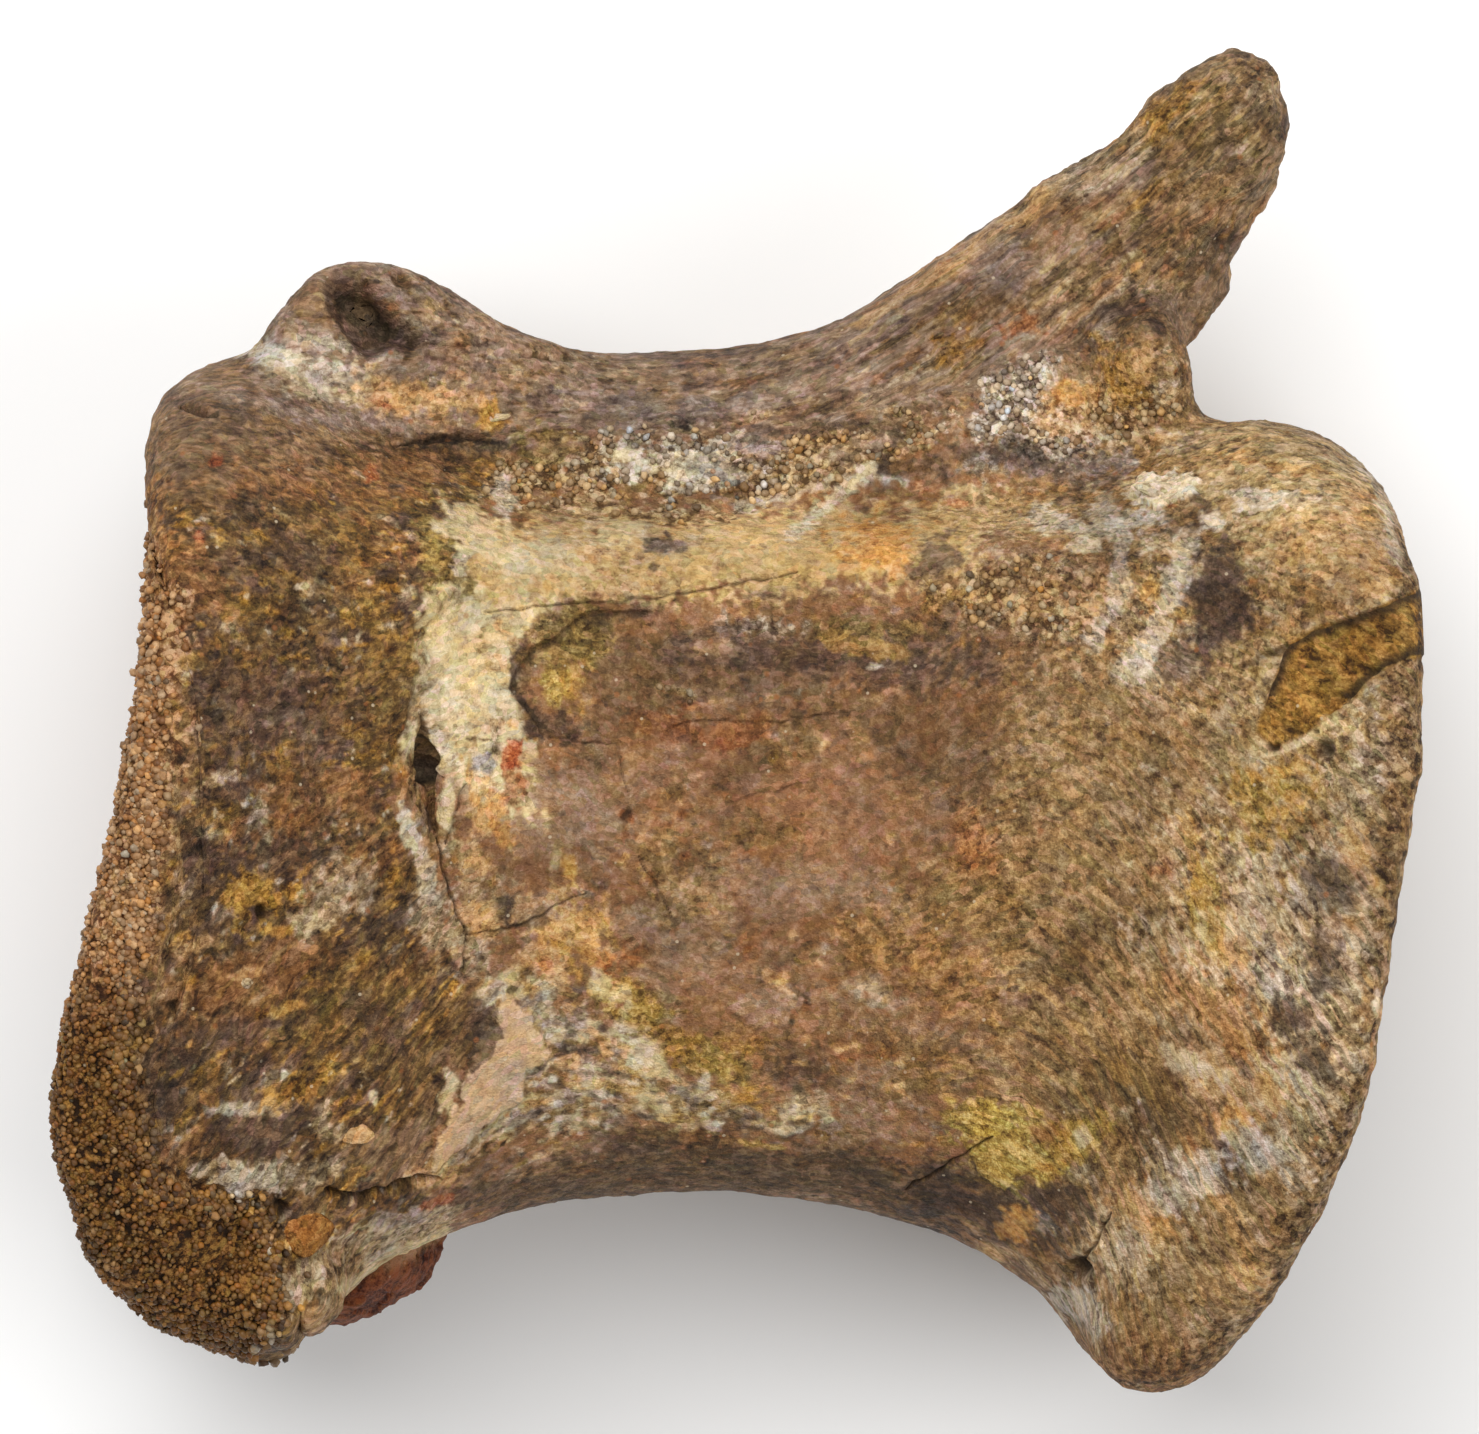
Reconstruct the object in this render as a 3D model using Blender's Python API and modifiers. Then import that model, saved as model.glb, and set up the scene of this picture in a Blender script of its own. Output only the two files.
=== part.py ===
"""Tail vertebra of a dinosaur: a fossil bone with desert sandstone still on it.

Metres, +Z up. The bone lies on its right side, as it rests on a table: +X runs from its front end
to its rear end, +Y from its belly to its back, and its left side faces up. The origin is on the
table, under the middle of the bone's box. The sizes below are in millimetres, measured from the
middle of the bone's side view and from the plane that parts its left and right halves.
"""

import math

import bmesh
import bpy
import numpy as np
from mathutils import Euler, Matrix, Vector

MM = 0.001

# Body of the vertebra (the centrum): end outlines seen from the side, as (height, place along X)
FRONT_EDGE = ((-46.0, -33.4), (-44.2, -38.0), (-40.7, -42.8), (-38.0, -45.5), (-33.7, -46.3), (-30.0, -48.0),
              (-25.0, -47.9), (-18.0, -46.2), (-7.5, -43.7), (3.0, -41.7), (10.0, -41.0), (18.8, -41.4),
              (26.0, -40.0))
REAR_EDGE = ((-47.5, 29.5), (-44.2, 34.5), (-40.7, 37.5), (-33.7, 41.4), (-26.7, 44.3), (-20.0, 45.0),
             (-12.7, 46.2), (-4.0, 47.7), (3.0, 48.2), (10.0, 47.9), (15.3, 46.1), (19.5, 43.4), (26.0, 42.0))
# Its underside and its top, as (share of the way from the front end to the rear end, height)
UNDERSIDE = ((0.0, -45.3), (0.07, -45.1), (0.15, -42.3), (0.25, -38.2), (0.33, -35.4), (0.40, -33.9),
             (0.50, -33.4), (0.62, -34.4), (0.72, -36.8), (0.79, -40.0), (0.86, -44.6), (0.95, -47.2),
             (1.0, -47.2))
TOPSIDE = ((0.0, 23.7), (0.03, 25.2), (0.09, 25.9), (0.16, 23.0), (0.32, 16.6), (0.55, 15.6), (0.75, 17.0),
           (0.86, 20.8), (0.92, 21.6), (0.97, 20.6), (1.0, 19.0))
RIM_HALF_WIDTH = 28.9
WAIST_HALF_WIDTH = 17.6
WAIST_SHARE = 0.12  # of the half length, about the middle, that stays at the waist's width
FLARE_SHARE = 0.80  # of the half length, over which the waist widens to the rim
FLARE_POWER = 1.7
SQUARENESS = 2.55  # of the cross sections: 2 is an ellipse
LEAN = 0.06  # how much wider a section is above than below
RIM_ROUNDING = ((0.0, 0.955), (0.010, 0.985), (0.028, 1.0))  # share from an end, share of the full section
FRONT_DISH = 1.6  # the sandstone fills the front face nearly level
REAR_DISH = 5.2
DISH_RINGS = (0.90, 0.78, 0.62, 0.44, 0.24, 0.08)
STATIONS = 44
AROUND = 72

# Shallow pit low on each side of the body, and the long shelf above it where the arch was joined
SIDE_PIT = {"x": 5.0, "y": -9.0, "length": 19.0, "height": 14.0, "depth": 2.0}
SHELF = {"x": 5.0, "y": 11.4, "length": 24.0, "height": 3.6, "depth": 3.9}

# Roof over the spinal canal (the neural arch): place along X, ridge height, half width at the base
ARCH = ((-27.5, 26.4, 8.4), (-24.0, 28.0, 9.2), (-19.5, 28.4, 9.8), (-15.5, 27.2, 10.2), (-11.0, 26.0, 10.4),
        (-4.0, 26.1, 10.4), (1.0, 26.6, 10.4), (7.0, 28.0, 10.4), (14.0, 28.6, 10.4), (22.0, 28.8, 10.2),
        (28.0, 27.8, 9.6), (32.2, 25.4, 8.4))
ARCH_BASE = 11.5
ARCH_LEAN = -0.50
ARCH_SQUARENESS = 2.3

# Worn stumps of the front joint processes: place along X, ridge height, distance from the middle plane
STUMP = ((-34.0, 25.6, 8.4), (-32.5, 28.4, 8.3), (-30.9, 30.6, 8.1), (-28.8, 32.3, 7.7), (-26.5, 32.8, 7.2),
         (-23.6, 32.7, 6.6), (-21.2, 31.8, 5.9), (-19.0, 30.0, 5.1), (-16.0, 28.0, 4.0), (-11.5, 26.4, 2.6))
STUMP_BASE = 17.0
STUMP_HALF_WIDTH = 3.4

# Spine: a blade leaning to the rear, as (front edge x, y), (rear edge x, y), half thickness
SPINE = (((-3.0, 21.0), (32.2, 13.0), 6.4), ((0.6, 25.4), (32.4, 18.0), 6.4),
         ((7.0, 28.0), (32.2, 22.8), 6.2), ((12.2, 31.4), (32.4, 26.6), 5.6),
         ((17.6, 35.0), (34.4, 29.8), 5.0), ((20.3, 37.0), (35.3, 31.8), 4.7),
         ((22.7, 38.6), (35.1, 33.4), 4.5), ((25.7, 40.4), (36.8, 35.7), 4.5),
         ((27.5, 42.4), (38.7, 38.3), 4.7), ((29.4, 44.2), (39.2, 40.4), 4.8),
         ((31.8, 45.8), (39.1, 42.4), 4.6), ((33.4, 47.1), (38.7, 44.6), 4.0),
         ((34.8, 47.9), (38.1, 46.5), 2.8))
SPINE_SQUARENESS = 2.4

# Knobs made as stretched balls, one on each side: centre, radii
KNOBS = {
    "rear_joint_stump": ((28.7, 24.6, 6.4), (3.6, 5.2, 3.8)),
    "front_chevron_seat": ((-33.0, -39.8, 11.5), (6.4, 3.9, 6.5)),
    "rear_chevron_seat": ((29.2, -42.5, 11.5), (5.1, 4.6, 6.5)),
}

# Spinal canal: a bent tube right through the arch, as (x, y) of its middle line
CANAL = ((-46.0, 28.0), (-36.0, 26.2), (-28.0, 24.0), (-18.0, 21.2), (-8.0, 19.8), (4.0, 19.4), (16.0, 19.7),
         (26.0, 21.0), (36.0, 23.2), (50.0, 27.0))
CANAL_RADIUS = 4.2

# Groove along the belly, between the seats of the chevrons
GROOVE_RADIUS = 5.2
GROOVE_SINK = 3.0  # how far the groove's own middle line lies outside the surface
GROOVE_SHARES = (-0.08, 0.07, 0.15, 0.25, 0.33, 0.40, 0.50, 0.62, 0.72, 0.79, 0.86, 1.08)

# Chip broken from the rear rim of the left side: its outline in the side view, from its inner corner on
CHIP = ((38.8, 5.2), (40.8, 5.8), (43.0, 6.5), (44.8, 7.3), (46.5, 8.5), (52.0, 10.4), (52.0, 1.4),
        (46.6, 2.2), (43.5, 1.7), (41.7, 0.9), (39.5, -0.3), (37.0, -2.6), (36.0, 0.6), (36.8, 2.6))
CHIP_FLOOR = 24.7  # distance of its floor from the middle plane, at the inner corner
CHIP_TILT = (math.radians(-12.0), math.radians(-17.0), 0.0)  # the floor rises downwards and to the rim

# Slit where the skin of the bone has sprung open, low on the front flare of the left side
SLIT = {"at": (-21.2, -5.0, 21.6), "radii": (0.85, 5.2, 3.0), "turn": math.radians(7.0)}

# Hollow in the outer side of the left front stump
HOLLOW = {"at": (-25.8, 28.6, 12.6), "radii": (2.2, 4.2, 3.6), "turn": math.radians(38.0)}

# Where the sandstone begins, as (height, place along X), and how far it fills the dish of the bone
CRUST_EDGE = ((-54.0, -34.0), (-44.0, -31.0), (-37.5, -30.0), (-33.5, -34.5), (-31.0, -40.2), (-26.0, -41.0),
              (-20.0, -39.6), (-12.0, -37.8), (2.0, -37.6), (8.0, -39.2), (14.0, -41.4), (22.0, -45.0),
              (30.0, -46.0))
CRUST_DISH = 4.2
CRUST_MIDDLE = -9.7
CRUST_HALF_HEIGHT = 35.0
GAP = 0.3  # between the bone and the sandstone that sits on it

# Lump of sandstone under the front end: centre, radii, and its turn in the side view
LUMP = {"at": (-26.0, -38.5, -3.5), "radii": (6.2, 3.5, 8.6), "turn": math.radians(20.0)}

# Making
FORM_VOXEL = 0.85
FORM_SMOOTHING = 9
SURFACE_VOXEL = 1.0
SURFACE_SMOOTHING = 3
BONE_TRIANGLES = 8600
FLAT_DEPTH = 0.4  # how much the rims are worn flat where the bone rests

BONE_COLOUR = (0.30, 0.19, 0.11, 1.0)
SANDSTONE_COLOUR = (0.36, 0.20, 0.10, 1.0)


def clear_scene():
    for obj in list(bpy.data.objects):
        bpy.data.objects.remove(obj)


def new_collection(name):
    collection = bpy.data.collections.new(name)
    bpy.context.scene.collection.children.link(collection)
    return collection


def new_object(name, mesh, collection):
    obj = bpy.data.objects.new(name, mesh)
    collection.objects.link(obj)
    return obj


def material(name, colour, roughness):
    made = bpy.data.materials.new(name)
    made.use_nodes = True
    shader = made.node_tree.nodes["Principled BSDF"]
    shader.inputs["Base Color"].default_value = colour
    shader.inputs["Roughness"].default_value = roughness
    shader.inputs["Metallic"].default_value = 0.0
    made.diffuse_color = colour
    return made


def read_curve(points, where):
    """The second number of the points at the place that the first one gives, in straight runs."""
    places, values = zip(*points)
    return np.interp(where, places, values)


def section(squareness, count=AROUND):
    """A unit superellipse as two rows of numbers: how far up and how far out to the left side."""
    angle = np.linspace(0.0, 2.0 * math.pi, count, endpoint=False)
    up = np.sign(np.cos(angle)) * np.abs(np.cos(angle)) ** (2.0 / squareness)
    out = np.sign(np.sin(angle)) * np.abs(np.sin(angle)) ** (2.0 / squareness)
    return up, out


def loft(name, rings, collection):
    """A closed body through rings of points, each an array of (x, y, z) in millimetres."""
    bm = bmesh.new()
    loops = [[bm.verts.new(Vector(point) * MM) for point in ring] for ring in rings]
    for first, second in zip(loops, loops[1:]):
        for i in range(len(first)):
            j = (i + 1) % len(first)
            bm.faces.new((first[i], first[j], second[j], second[i]))
    bm.faces.new(loops[0])
    bm.faces.new(loops[-1])
    bmesh.ops.recalc_face_normals(bm, faces=bm.faces)
    mesh = bpy.data.meshes.new(name)
    bm.to_mesh(mesh)
    bm.free()
    return new_object(name, mesh, collection)


def centrum_half_width(share):
    """The waist's half width in the middle, widening to the rim's at both ends."""
    from_middle = np.abs(2.0 * share - 1.0)
    flare = np.clip((from_middle - WAIST_SHARE) / FLARE_SHARE, 0.0, 1.0) ** FLARE_POWER
    return WAIST_HALF_WIDTH + (RIM_HALF_WIDTH - WAIST_HALF_WIDTH) * flare


def centrum_ring(share, shrink=1.0, sink=0.0):
    """One section of the body. Each point lies at this share of the way from the front outline to the
    rear one at its own height. shrink draws the ring in, and sink moves it along X."""
    up, out = section(SQUARENESS)
    top = read_curve(TOPSIDE, share)
    bottom = read_curve(UNDERSIDE, share)
    y = (top + bottom) / 2.0 + (top - bottom) / 2.0 * up * shrink
    z = centrum_half_width(share) * out * shrink * (1.0 + LEAN * up)
    x = (1.0 - share) * read_curve(FRONT_EDGE, y) + share * read_curve(REAR_EDGE, y) + sink

    def bell(spot):
        return spot["depth"] * np.exp(-(((x - spot["x"]) / spot["length"]) ** 2)
                                      - ((y - spot["y"]) / spot["height"]) ** 2)

    z += np.sign(z) * (bell(SHELF) * np.minimum(1.0, np.abs(z) / 6.0) - bell(SIDE_PIT) * np.abs(out))
    return np.stack([x, y, z], 1)


def make_centrum(collection):
    dish_in = [(1.0 - ring ** 2) for ring in DISH_RINGS]
    rings = [centrum_ring(0.0, ring * RIM_ROUNDING[0][1], FRONT_DISH * depth)
             for ring, depth in zip(DISH_RINGS[::-1], dish_in[::-1])]
    rings += [centrum_ring(share, shrink) for share, shrink in RIM_ROUNDING]
    inner = np.linspace(RIM_ROUNDING[-1][0], 1.0 - RIM_ROUNDING[-1][0], STATIONS)[1:-1]
    rings += [centrum_ring(share) for share in inner]
    rings += [centrum_ring(1.0 - share, shrink) for share, shrink in RIM_ROUNDING[::-1]]
    rings += [centrum_ring(1.0, ring * RIM_ROUNDING[0][1], -REAR_DISH * depth)
              for ring, depth in zip(DISH_RINGS, dish_in)]
    return loft("centrum", rings, collection)


def make_arch(collection):
    up, out = section(ARCH_SQUARENESS, 40)
    rings = []
    for x, ridge, half_width in ARCH:
        y = (ridge + ARCH_BASE) / 2.0 + (ridge - ARCH_BASE) / 2.0 * up
        z = half_width * out * (1.0 + ARCH_LEAN * up) / (1.0 - ARCH_LEAN / 2.0)
        rings.append(np.stack([np.full_like(y, x), y, z], 1))
    return loft("arch", rings, collection)


def make_stumps(collection):
    up, out = section(SQUARENESS, 24)
    for side in (1, -1):
        rings = []
        for x, ridge, off_middle in STUMP:
            y = (ridge + STUMP_BASE) / 2.0 + (ridge - STUMP_BASE) / 2.0 * up
            z = side * off_middle + STUMP_HALF_WIDTH * out * (1.0 - 0.15 * up)
            rings.append(np.stack([np.full_like(y, x), y, z], 1))
        loft("stump", rings, collection)


def make_spine(collection):
    up, out = section(SPINE_SQUARENESS, 32)
    rings = []
    for front, rear, half_width in SPINE:
        middle = (np.array(front) + np.array(rear)) / 2.0
        reach = (np.array(front) - np.array(rear)) / 2.0
        x = middle[0] + reach[0] * up
        y = middle[1] + reach[1] * up
        rings.append(np.stack([x, y, half_width * out], 1))
    return loft("spine", rings, collection)


def make_ball(name, centre, radii, collection, turn=0.0):
    """A stretched ball, turned about Z by so much."""
    bm = bmesh.new()
    bmesh.ops.create_uvsphere(bm, u_segments=28, v_segments=18, radius=1.0)
    size = Matrix.Diagonal(Vector(radii) * MM).to_4x4()
    place = Matrix.Translation(Vector(centre) * MM) @ Matrix.Rotation(turn, 4, "Z")
    bmesh.ops.transform(bm, matrix=place @ size, verts=bm.verts)
    mesh = bpy.data.meshes.new(name)
    bm.to_mesh(mesh)
    bm.free()
    return new_object(name, mesh, collection)


def make_knobs(collection):
    for name, ((x, y, z), radii) in KNOBS.items():
        for side in (1, -1):
            make_ball(name, (x, y, side * z), radii, collection)


def as_mesh(obj, collection):
    """A curve object made a closed mesh object, and the curve removed."""
    graph = bpy.context.evaluated_depsgraph_get()
    mesh = bpy.data.meshes.new_from_object(obj.evaluated_get(graph))
    bm = bmesh.new()
    bm.from_mesh(mesh)
    bmesh.ops.remove_doubles(bm, verts=bm.verts, dist=0.00001)
    bmesh.ops.recalc_face_normals(bm, faces=bm.faces)
    bm.to_mesh(mesh)
    bm.free()
    made = new_object(obj.name + "_mesh", mesh, collection)
    made.matrix_world = obj.matrix_world
    bpy.data.objects.remove(obj)
    return made


def make_tube(name, points, radius, collection):
    """A round tube through points (x, y) in the middle plane."""
    curve = bpy.data.curves.new(name, "CURVE")
    curve.dimensions = "3D"
    curve.bevel_depth = radius * MM
    curve.bevel_resolution = 4
    curve.use_fill_caps = True
    spline = curve.splines.new("NURBS")
    spline.points.add(len(points) - 1)
    for point, (x, y) in zip(spline.points, points):
        point.co = (x * MM, y * MM, 0.0, 1.0)
    spline.use_endpoint_u = True
    spline.order_u = 4
    spline.resolution_u = 5
    return as_mesh(new_object(name, curve, collection), collection)


def make_groove(collection):
    points = []
    for share in GROOVE_SHARES:
        y = float(read_curve(UNDERSIDE, share)) - GROOVE_SINK
        x = (1.0 - share) * read_curve(FRONT_EDGE, y) + share * read_curve(REAR_EDGE, y)
        points.append((float(x), y))
    return make_tube("groove", points, GROOVE_RADIUS, collection)


def make_chip(collection):
    """The broken chip as an extruded outline whose floor is tilted about the notch's inner corner."""
    half_height = 10.0
    curve = bpy.data.curves.new("chip", "CURVE")
    curve.dimensions = "2D"
    curve.fill_mode = "BOTH"
    curve.extrude = half_height * MM
    spline = curve.splines.new("POLY")
    spline.points.add(len(CHIP) - 1)
    corner = CHIP[0]
    for point, (x, y) in zip(spline.points, CHIP):
        point.co = ((x - corner[0]) * MM, (y - corner[1]) * MM, 0.0, 1.0)
    spline.use_cyclic_u = True
    obj = new_object("chip", curve, collection)
    place = Matrix.Translation(Vector((corner[0], corner[1], CHIP_FLOOR)) * MM)
    lift = Matrix.Translation(Vector((0.0, 0.0, half_height)) * MM)
    obj.matrix_world = place @ Euler(CHIP_TILT).to_matrix().to_4x4() @ lift
    bpy.context.view_layer.update()
    return as_mesh(obj, collection)


def apply_modifiers(obj):
    graph = bpy.context.evaluated_depsgraph_get()
    mesh = bpy.data.meshes.new_from_object(obj.evaluated_get(graph))
    obj.modifiers.clear()
    obj.data = mesh


def combine(obj, operation, operand):
    """A Boolean on obj with one object or with a collection, applied."""
    modifier = obj.modifiers.new(operation.lower(), "BOOLEAN")
    modifier.operation = operation
    modifier.solver = "EXACT"
    if isinstance(operand, bpy.types.Collection):
        modifier.operand_type = "COLLECTION"
        modifier.collection = operand
    else:
        modifier.object = operand
    bpy.context.view_layer.update()
    apply_modifiers(obj)


def even_out(obj, voxel, smoothing):
    """Rebuilds the surface in even squares and softens its creases."""
    remesh = obj.modifiers.new("even", "REMESH")
    remesh.mode = "VOXEL"
    remesh.voxel_size = voxel * MM
    smooth = obj.modifiers.new("soften", "SMOOTH")
    smooth.factor = 0.5
    smooth.iterations = smoothing
    apply_modifiers(obj)


def thin_out(obj, triangles):
    """Leaves about so many triangles, the fewest where the surface is flattest."""
    obj.data.calc_loop_triangles()
    decimate = obj.modifiers.new("thin", "DECIMATE")
    decimate.ratio = triangles / len(obj.data.loop_triangles)
    decimate.use_collapse_triangulate = True
    apply_modifiers(obj)


def loose_parts(mesh):
    """The separate closed surfaces of a mesh, the one with most faces first, as lists of face indices."""
    bm = bmesh.new()
    bm.from_mesh(mesh)
    seen = set()
    parts = []
    for face in bm.faces:
        if face in seen:
            continue
        seen.add(face)
        part, todo = [], [face]
        while todo:
            current = todo.pop()
            part.append(current.index)
            for edge in current.edges:
                for other in edge.link_faces:
                    if other not in seen:
                        seen.add(other)
                        todo.append(other)
        parts.append(part)
    bm.free()
    return sorted(parts, key=len, reverse=True)


def only_faces(mesh, name, faces):
    """A copy of the mesh with just these faces."""
    keep = set(faces)
    bm = bmesh.new()
    bm.from_mesh(mesh)
    bmesh.ops.delete(bm, geom=[face for face in bm.faces if face.index not in keep], context="FACES")
    made = bpy.data.meshes.new(name)
    bm.to_mesh(made)
    bm.free()
    return made


def carve(bone, cutters):
    """Takes each cutter from the bone, and then removes it."""
    for cutter in list(cutters.objects):
        combine(bone, "DIFFERENCE", cutter)
        bpy.data.objects.remove(cutter)


def carve_openings(bone, cutters):
    make_tube("canal", CANAL, CANAL_RADIUS, cutters)
    make_groove(cutters)
    carve(bone, cutters)


def carve_damage(bone, cutters):
    make_chip(cutters)
    for name, hole in (("slit", SLIT), ("hollow", HOLLOW)):
        make_ball(name, hole["at"], hole["radii"], cutters, hole["turn"])
    carve(bone, cutters)


def wear_flat(bone, cutters):
    """Takes a little off the side that the bone rests on, with a box whose top is the table."""
    lowest = min(vertex.co.z for vertex in bone.data.vertices)
    height = 10.0 * MM
    bpy.ops.mesh.primitive_cube_add(size=1.0, location=(0.0, 0.0, lowest + FLAT_DEPTH * MM - height / 2.0))
    box = bpy.context.object
    box.scale = (0.2, 0.2, height)
    bpy.context.collection.objects.unlink(box)
    cutters.objects.link(box)
    combine(bone, "DIFFERENCE", box)
    bpy.data.objects.remove(box)


def make_crust_cut(cutters):
    """A thin curved wall along the line where the sandstone meets the bone: X as a function of Y and Z."""
    bm = bmesh.new()
    bmesh.ops.create_grid(bm, x_segments=30, y_segments=24, size=1.0)
    for vertex in bm.verts:
        y = -12.0 + 42.0 * vertex.co.x
        z = 36.0 * vertex.co.y
        away = ((y - CRUST_MIDDLE) / CRUST_HALF_HEIGHT) ** 2 + (z / RIM_HALF_WIDTH) ** 2
        x = read_curve(CRUST_EDGE, y) + CRUST_DISH * max(0.0, 1.0 - away)
        vertex.co = Vector((float(x), y, z)) * MM
    mesh = bpy.data.meshes.new("crust_cut")
    bm.to_mesh(mesh)
    bm.free()
    wall = new_object("crust_cut", mesh, cutters)
    solidify = wall.modifiers.new("thickness", "SOLIDIFY")
    solidify.thickness = GAP * MM
    solidify.offset = 0.0
    apply_modifiers(wall)
    return wall


def make_lump(name, bone, collection, cutters):
    """The lump of sandstone under the front end, cut away where it would enter the bone."""
    lump = make_ball(name, LUMP["at"], LUMP["radii"], collection, LUMP["turn"])
    swollen = new_object("swollen_bone", bone.data.copy(), cutters)
    swell = swollen.modifiers.new("swell", "DISPLACE")
    swell.mid_level = 0.0
    swell.strength = GAP * MM
    combine(lump, "DIFFERENCE", swollen)
    bpy.data.objects.remove(swollen)
    lump.data = only_faces(lump.data, name, loose_parts(lump.data)[0])
    return lump


def centre_on_table(objects):
    """Moves the meshes so that the middle of their box is over the origin and the lowest point at zero."""
    corners = np.array([vertex.co for obj in objects for vertex in obj.data.vertices])
    low, high = corners.min(0), corners.max(0)
    shift = Vector((-(low[0] + high[0]) / 2.0, -(low[1] + high[1]) / 2.0, -low[2]))
    for obj in objects:
        obj.data.transform(Matrix.Translation(shift))


def finish(obj, look):
    obj.data.materials.clear()
    obj.data.materials.append(look)
    obj.data.shade_smooth()
    obj.data.set_sharp_from_angle(angle=math.radians(50.0))


def main():
    clear_scene()
    part = new_collection("vertebra_fossil")
    forms = new_collection("forms")
    cutters = new_collection("cutters")

    body = make_centrum(part)
    make_arch(forms)
    make_stumps(forms)
    make_spine(forms)
    make_knobs(forms)
    combine(body, "UNION", forms)
    for obj in list(forms.objects):
        bpy.data.objects.remove(obj)
    even_out(body, FORM_VOXEL, FORM_SMOOTHING)

    carve_openings(body, cutters)
    even_out(body, SURFACE_VOXEL, SURFACE_SMOOTHING)
    thin_out(body, BONE_TRIANGLES)
    carve_damage(body, cutters)
    wear_flat(body, cutters)

    cut = make_crust_cut(cutters)
    combine(body, "DIFFERENCE", cut)
    bpy.data.objects.remove(cut)
    bone_faces, crust_faces = loose_parts(body.data)[:2]
    bone = new_object("vertebra", only_faces(body.data, "vertebra", bone_faces), part)
    crust = new_object("sandstone_crust", only_faces(body.data, "sandstone_crust", crust_faces), part)
    bpy.data.objects.remove(body)
    lump = make_lump("sandstone_lump", bone, part, cutters)

    centre_on_table([bone, crust, lump])
    finish(bone, material("fossil_bone", BONE_COLOUR, 0.75))
    sandstone = material("sandstone", SANDSTONE_COLOUR, 0.9)
    finish(crust, sandstone)
    finish(lump, sandstone)
    for collection in (forms, cutters):
        bpy.data.collections.remove(collection)


main()
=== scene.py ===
# A dinosaur's tail vertebra with desert sandstone on it, lying on its right side and seen from straight above.
# Places are in millimetres from the middle of the bone's side view: x towards its rear, y towards its back, z up.
import math

import bmesh
import bpy
import numpy as np
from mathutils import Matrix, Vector


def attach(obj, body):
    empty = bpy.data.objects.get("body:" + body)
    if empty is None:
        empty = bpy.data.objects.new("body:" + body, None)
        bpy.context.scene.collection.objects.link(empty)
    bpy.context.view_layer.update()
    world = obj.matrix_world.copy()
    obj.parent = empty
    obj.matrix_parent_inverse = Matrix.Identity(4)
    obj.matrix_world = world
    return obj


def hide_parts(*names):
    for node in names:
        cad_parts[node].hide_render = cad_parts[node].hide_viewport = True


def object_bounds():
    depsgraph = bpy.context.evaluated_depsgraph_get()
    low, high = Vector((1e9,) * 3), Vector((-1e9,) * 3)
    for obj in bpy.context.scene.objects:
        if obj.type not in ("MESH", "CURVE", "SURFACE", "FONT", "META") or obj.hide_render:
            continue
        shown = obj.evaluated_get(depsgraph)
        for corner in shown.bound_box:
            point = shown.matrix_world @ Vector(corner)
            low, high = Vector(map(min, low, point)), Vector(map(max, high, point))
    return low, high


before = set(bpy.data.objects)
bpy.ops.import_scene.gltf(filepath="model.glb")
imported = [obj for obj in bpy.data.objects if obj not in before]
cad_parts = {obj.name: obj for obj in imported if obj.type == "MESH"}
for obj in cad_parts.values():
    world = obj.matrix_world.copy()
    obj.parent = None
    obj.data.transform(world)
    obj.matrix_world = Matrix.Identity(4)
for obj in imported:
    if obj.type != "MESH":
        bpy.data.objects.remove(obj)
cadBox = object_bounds()

mm = 0.001
midPlane = (cadBox[0][2] + cadBox[1][2]) / 2.0 / mm  # the bone's left half lies above it, the right half below
print("frame loaded, bone", [round((b - a) / mm, 1) for a, b in zip(*cadBox)], "mm")


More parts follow.
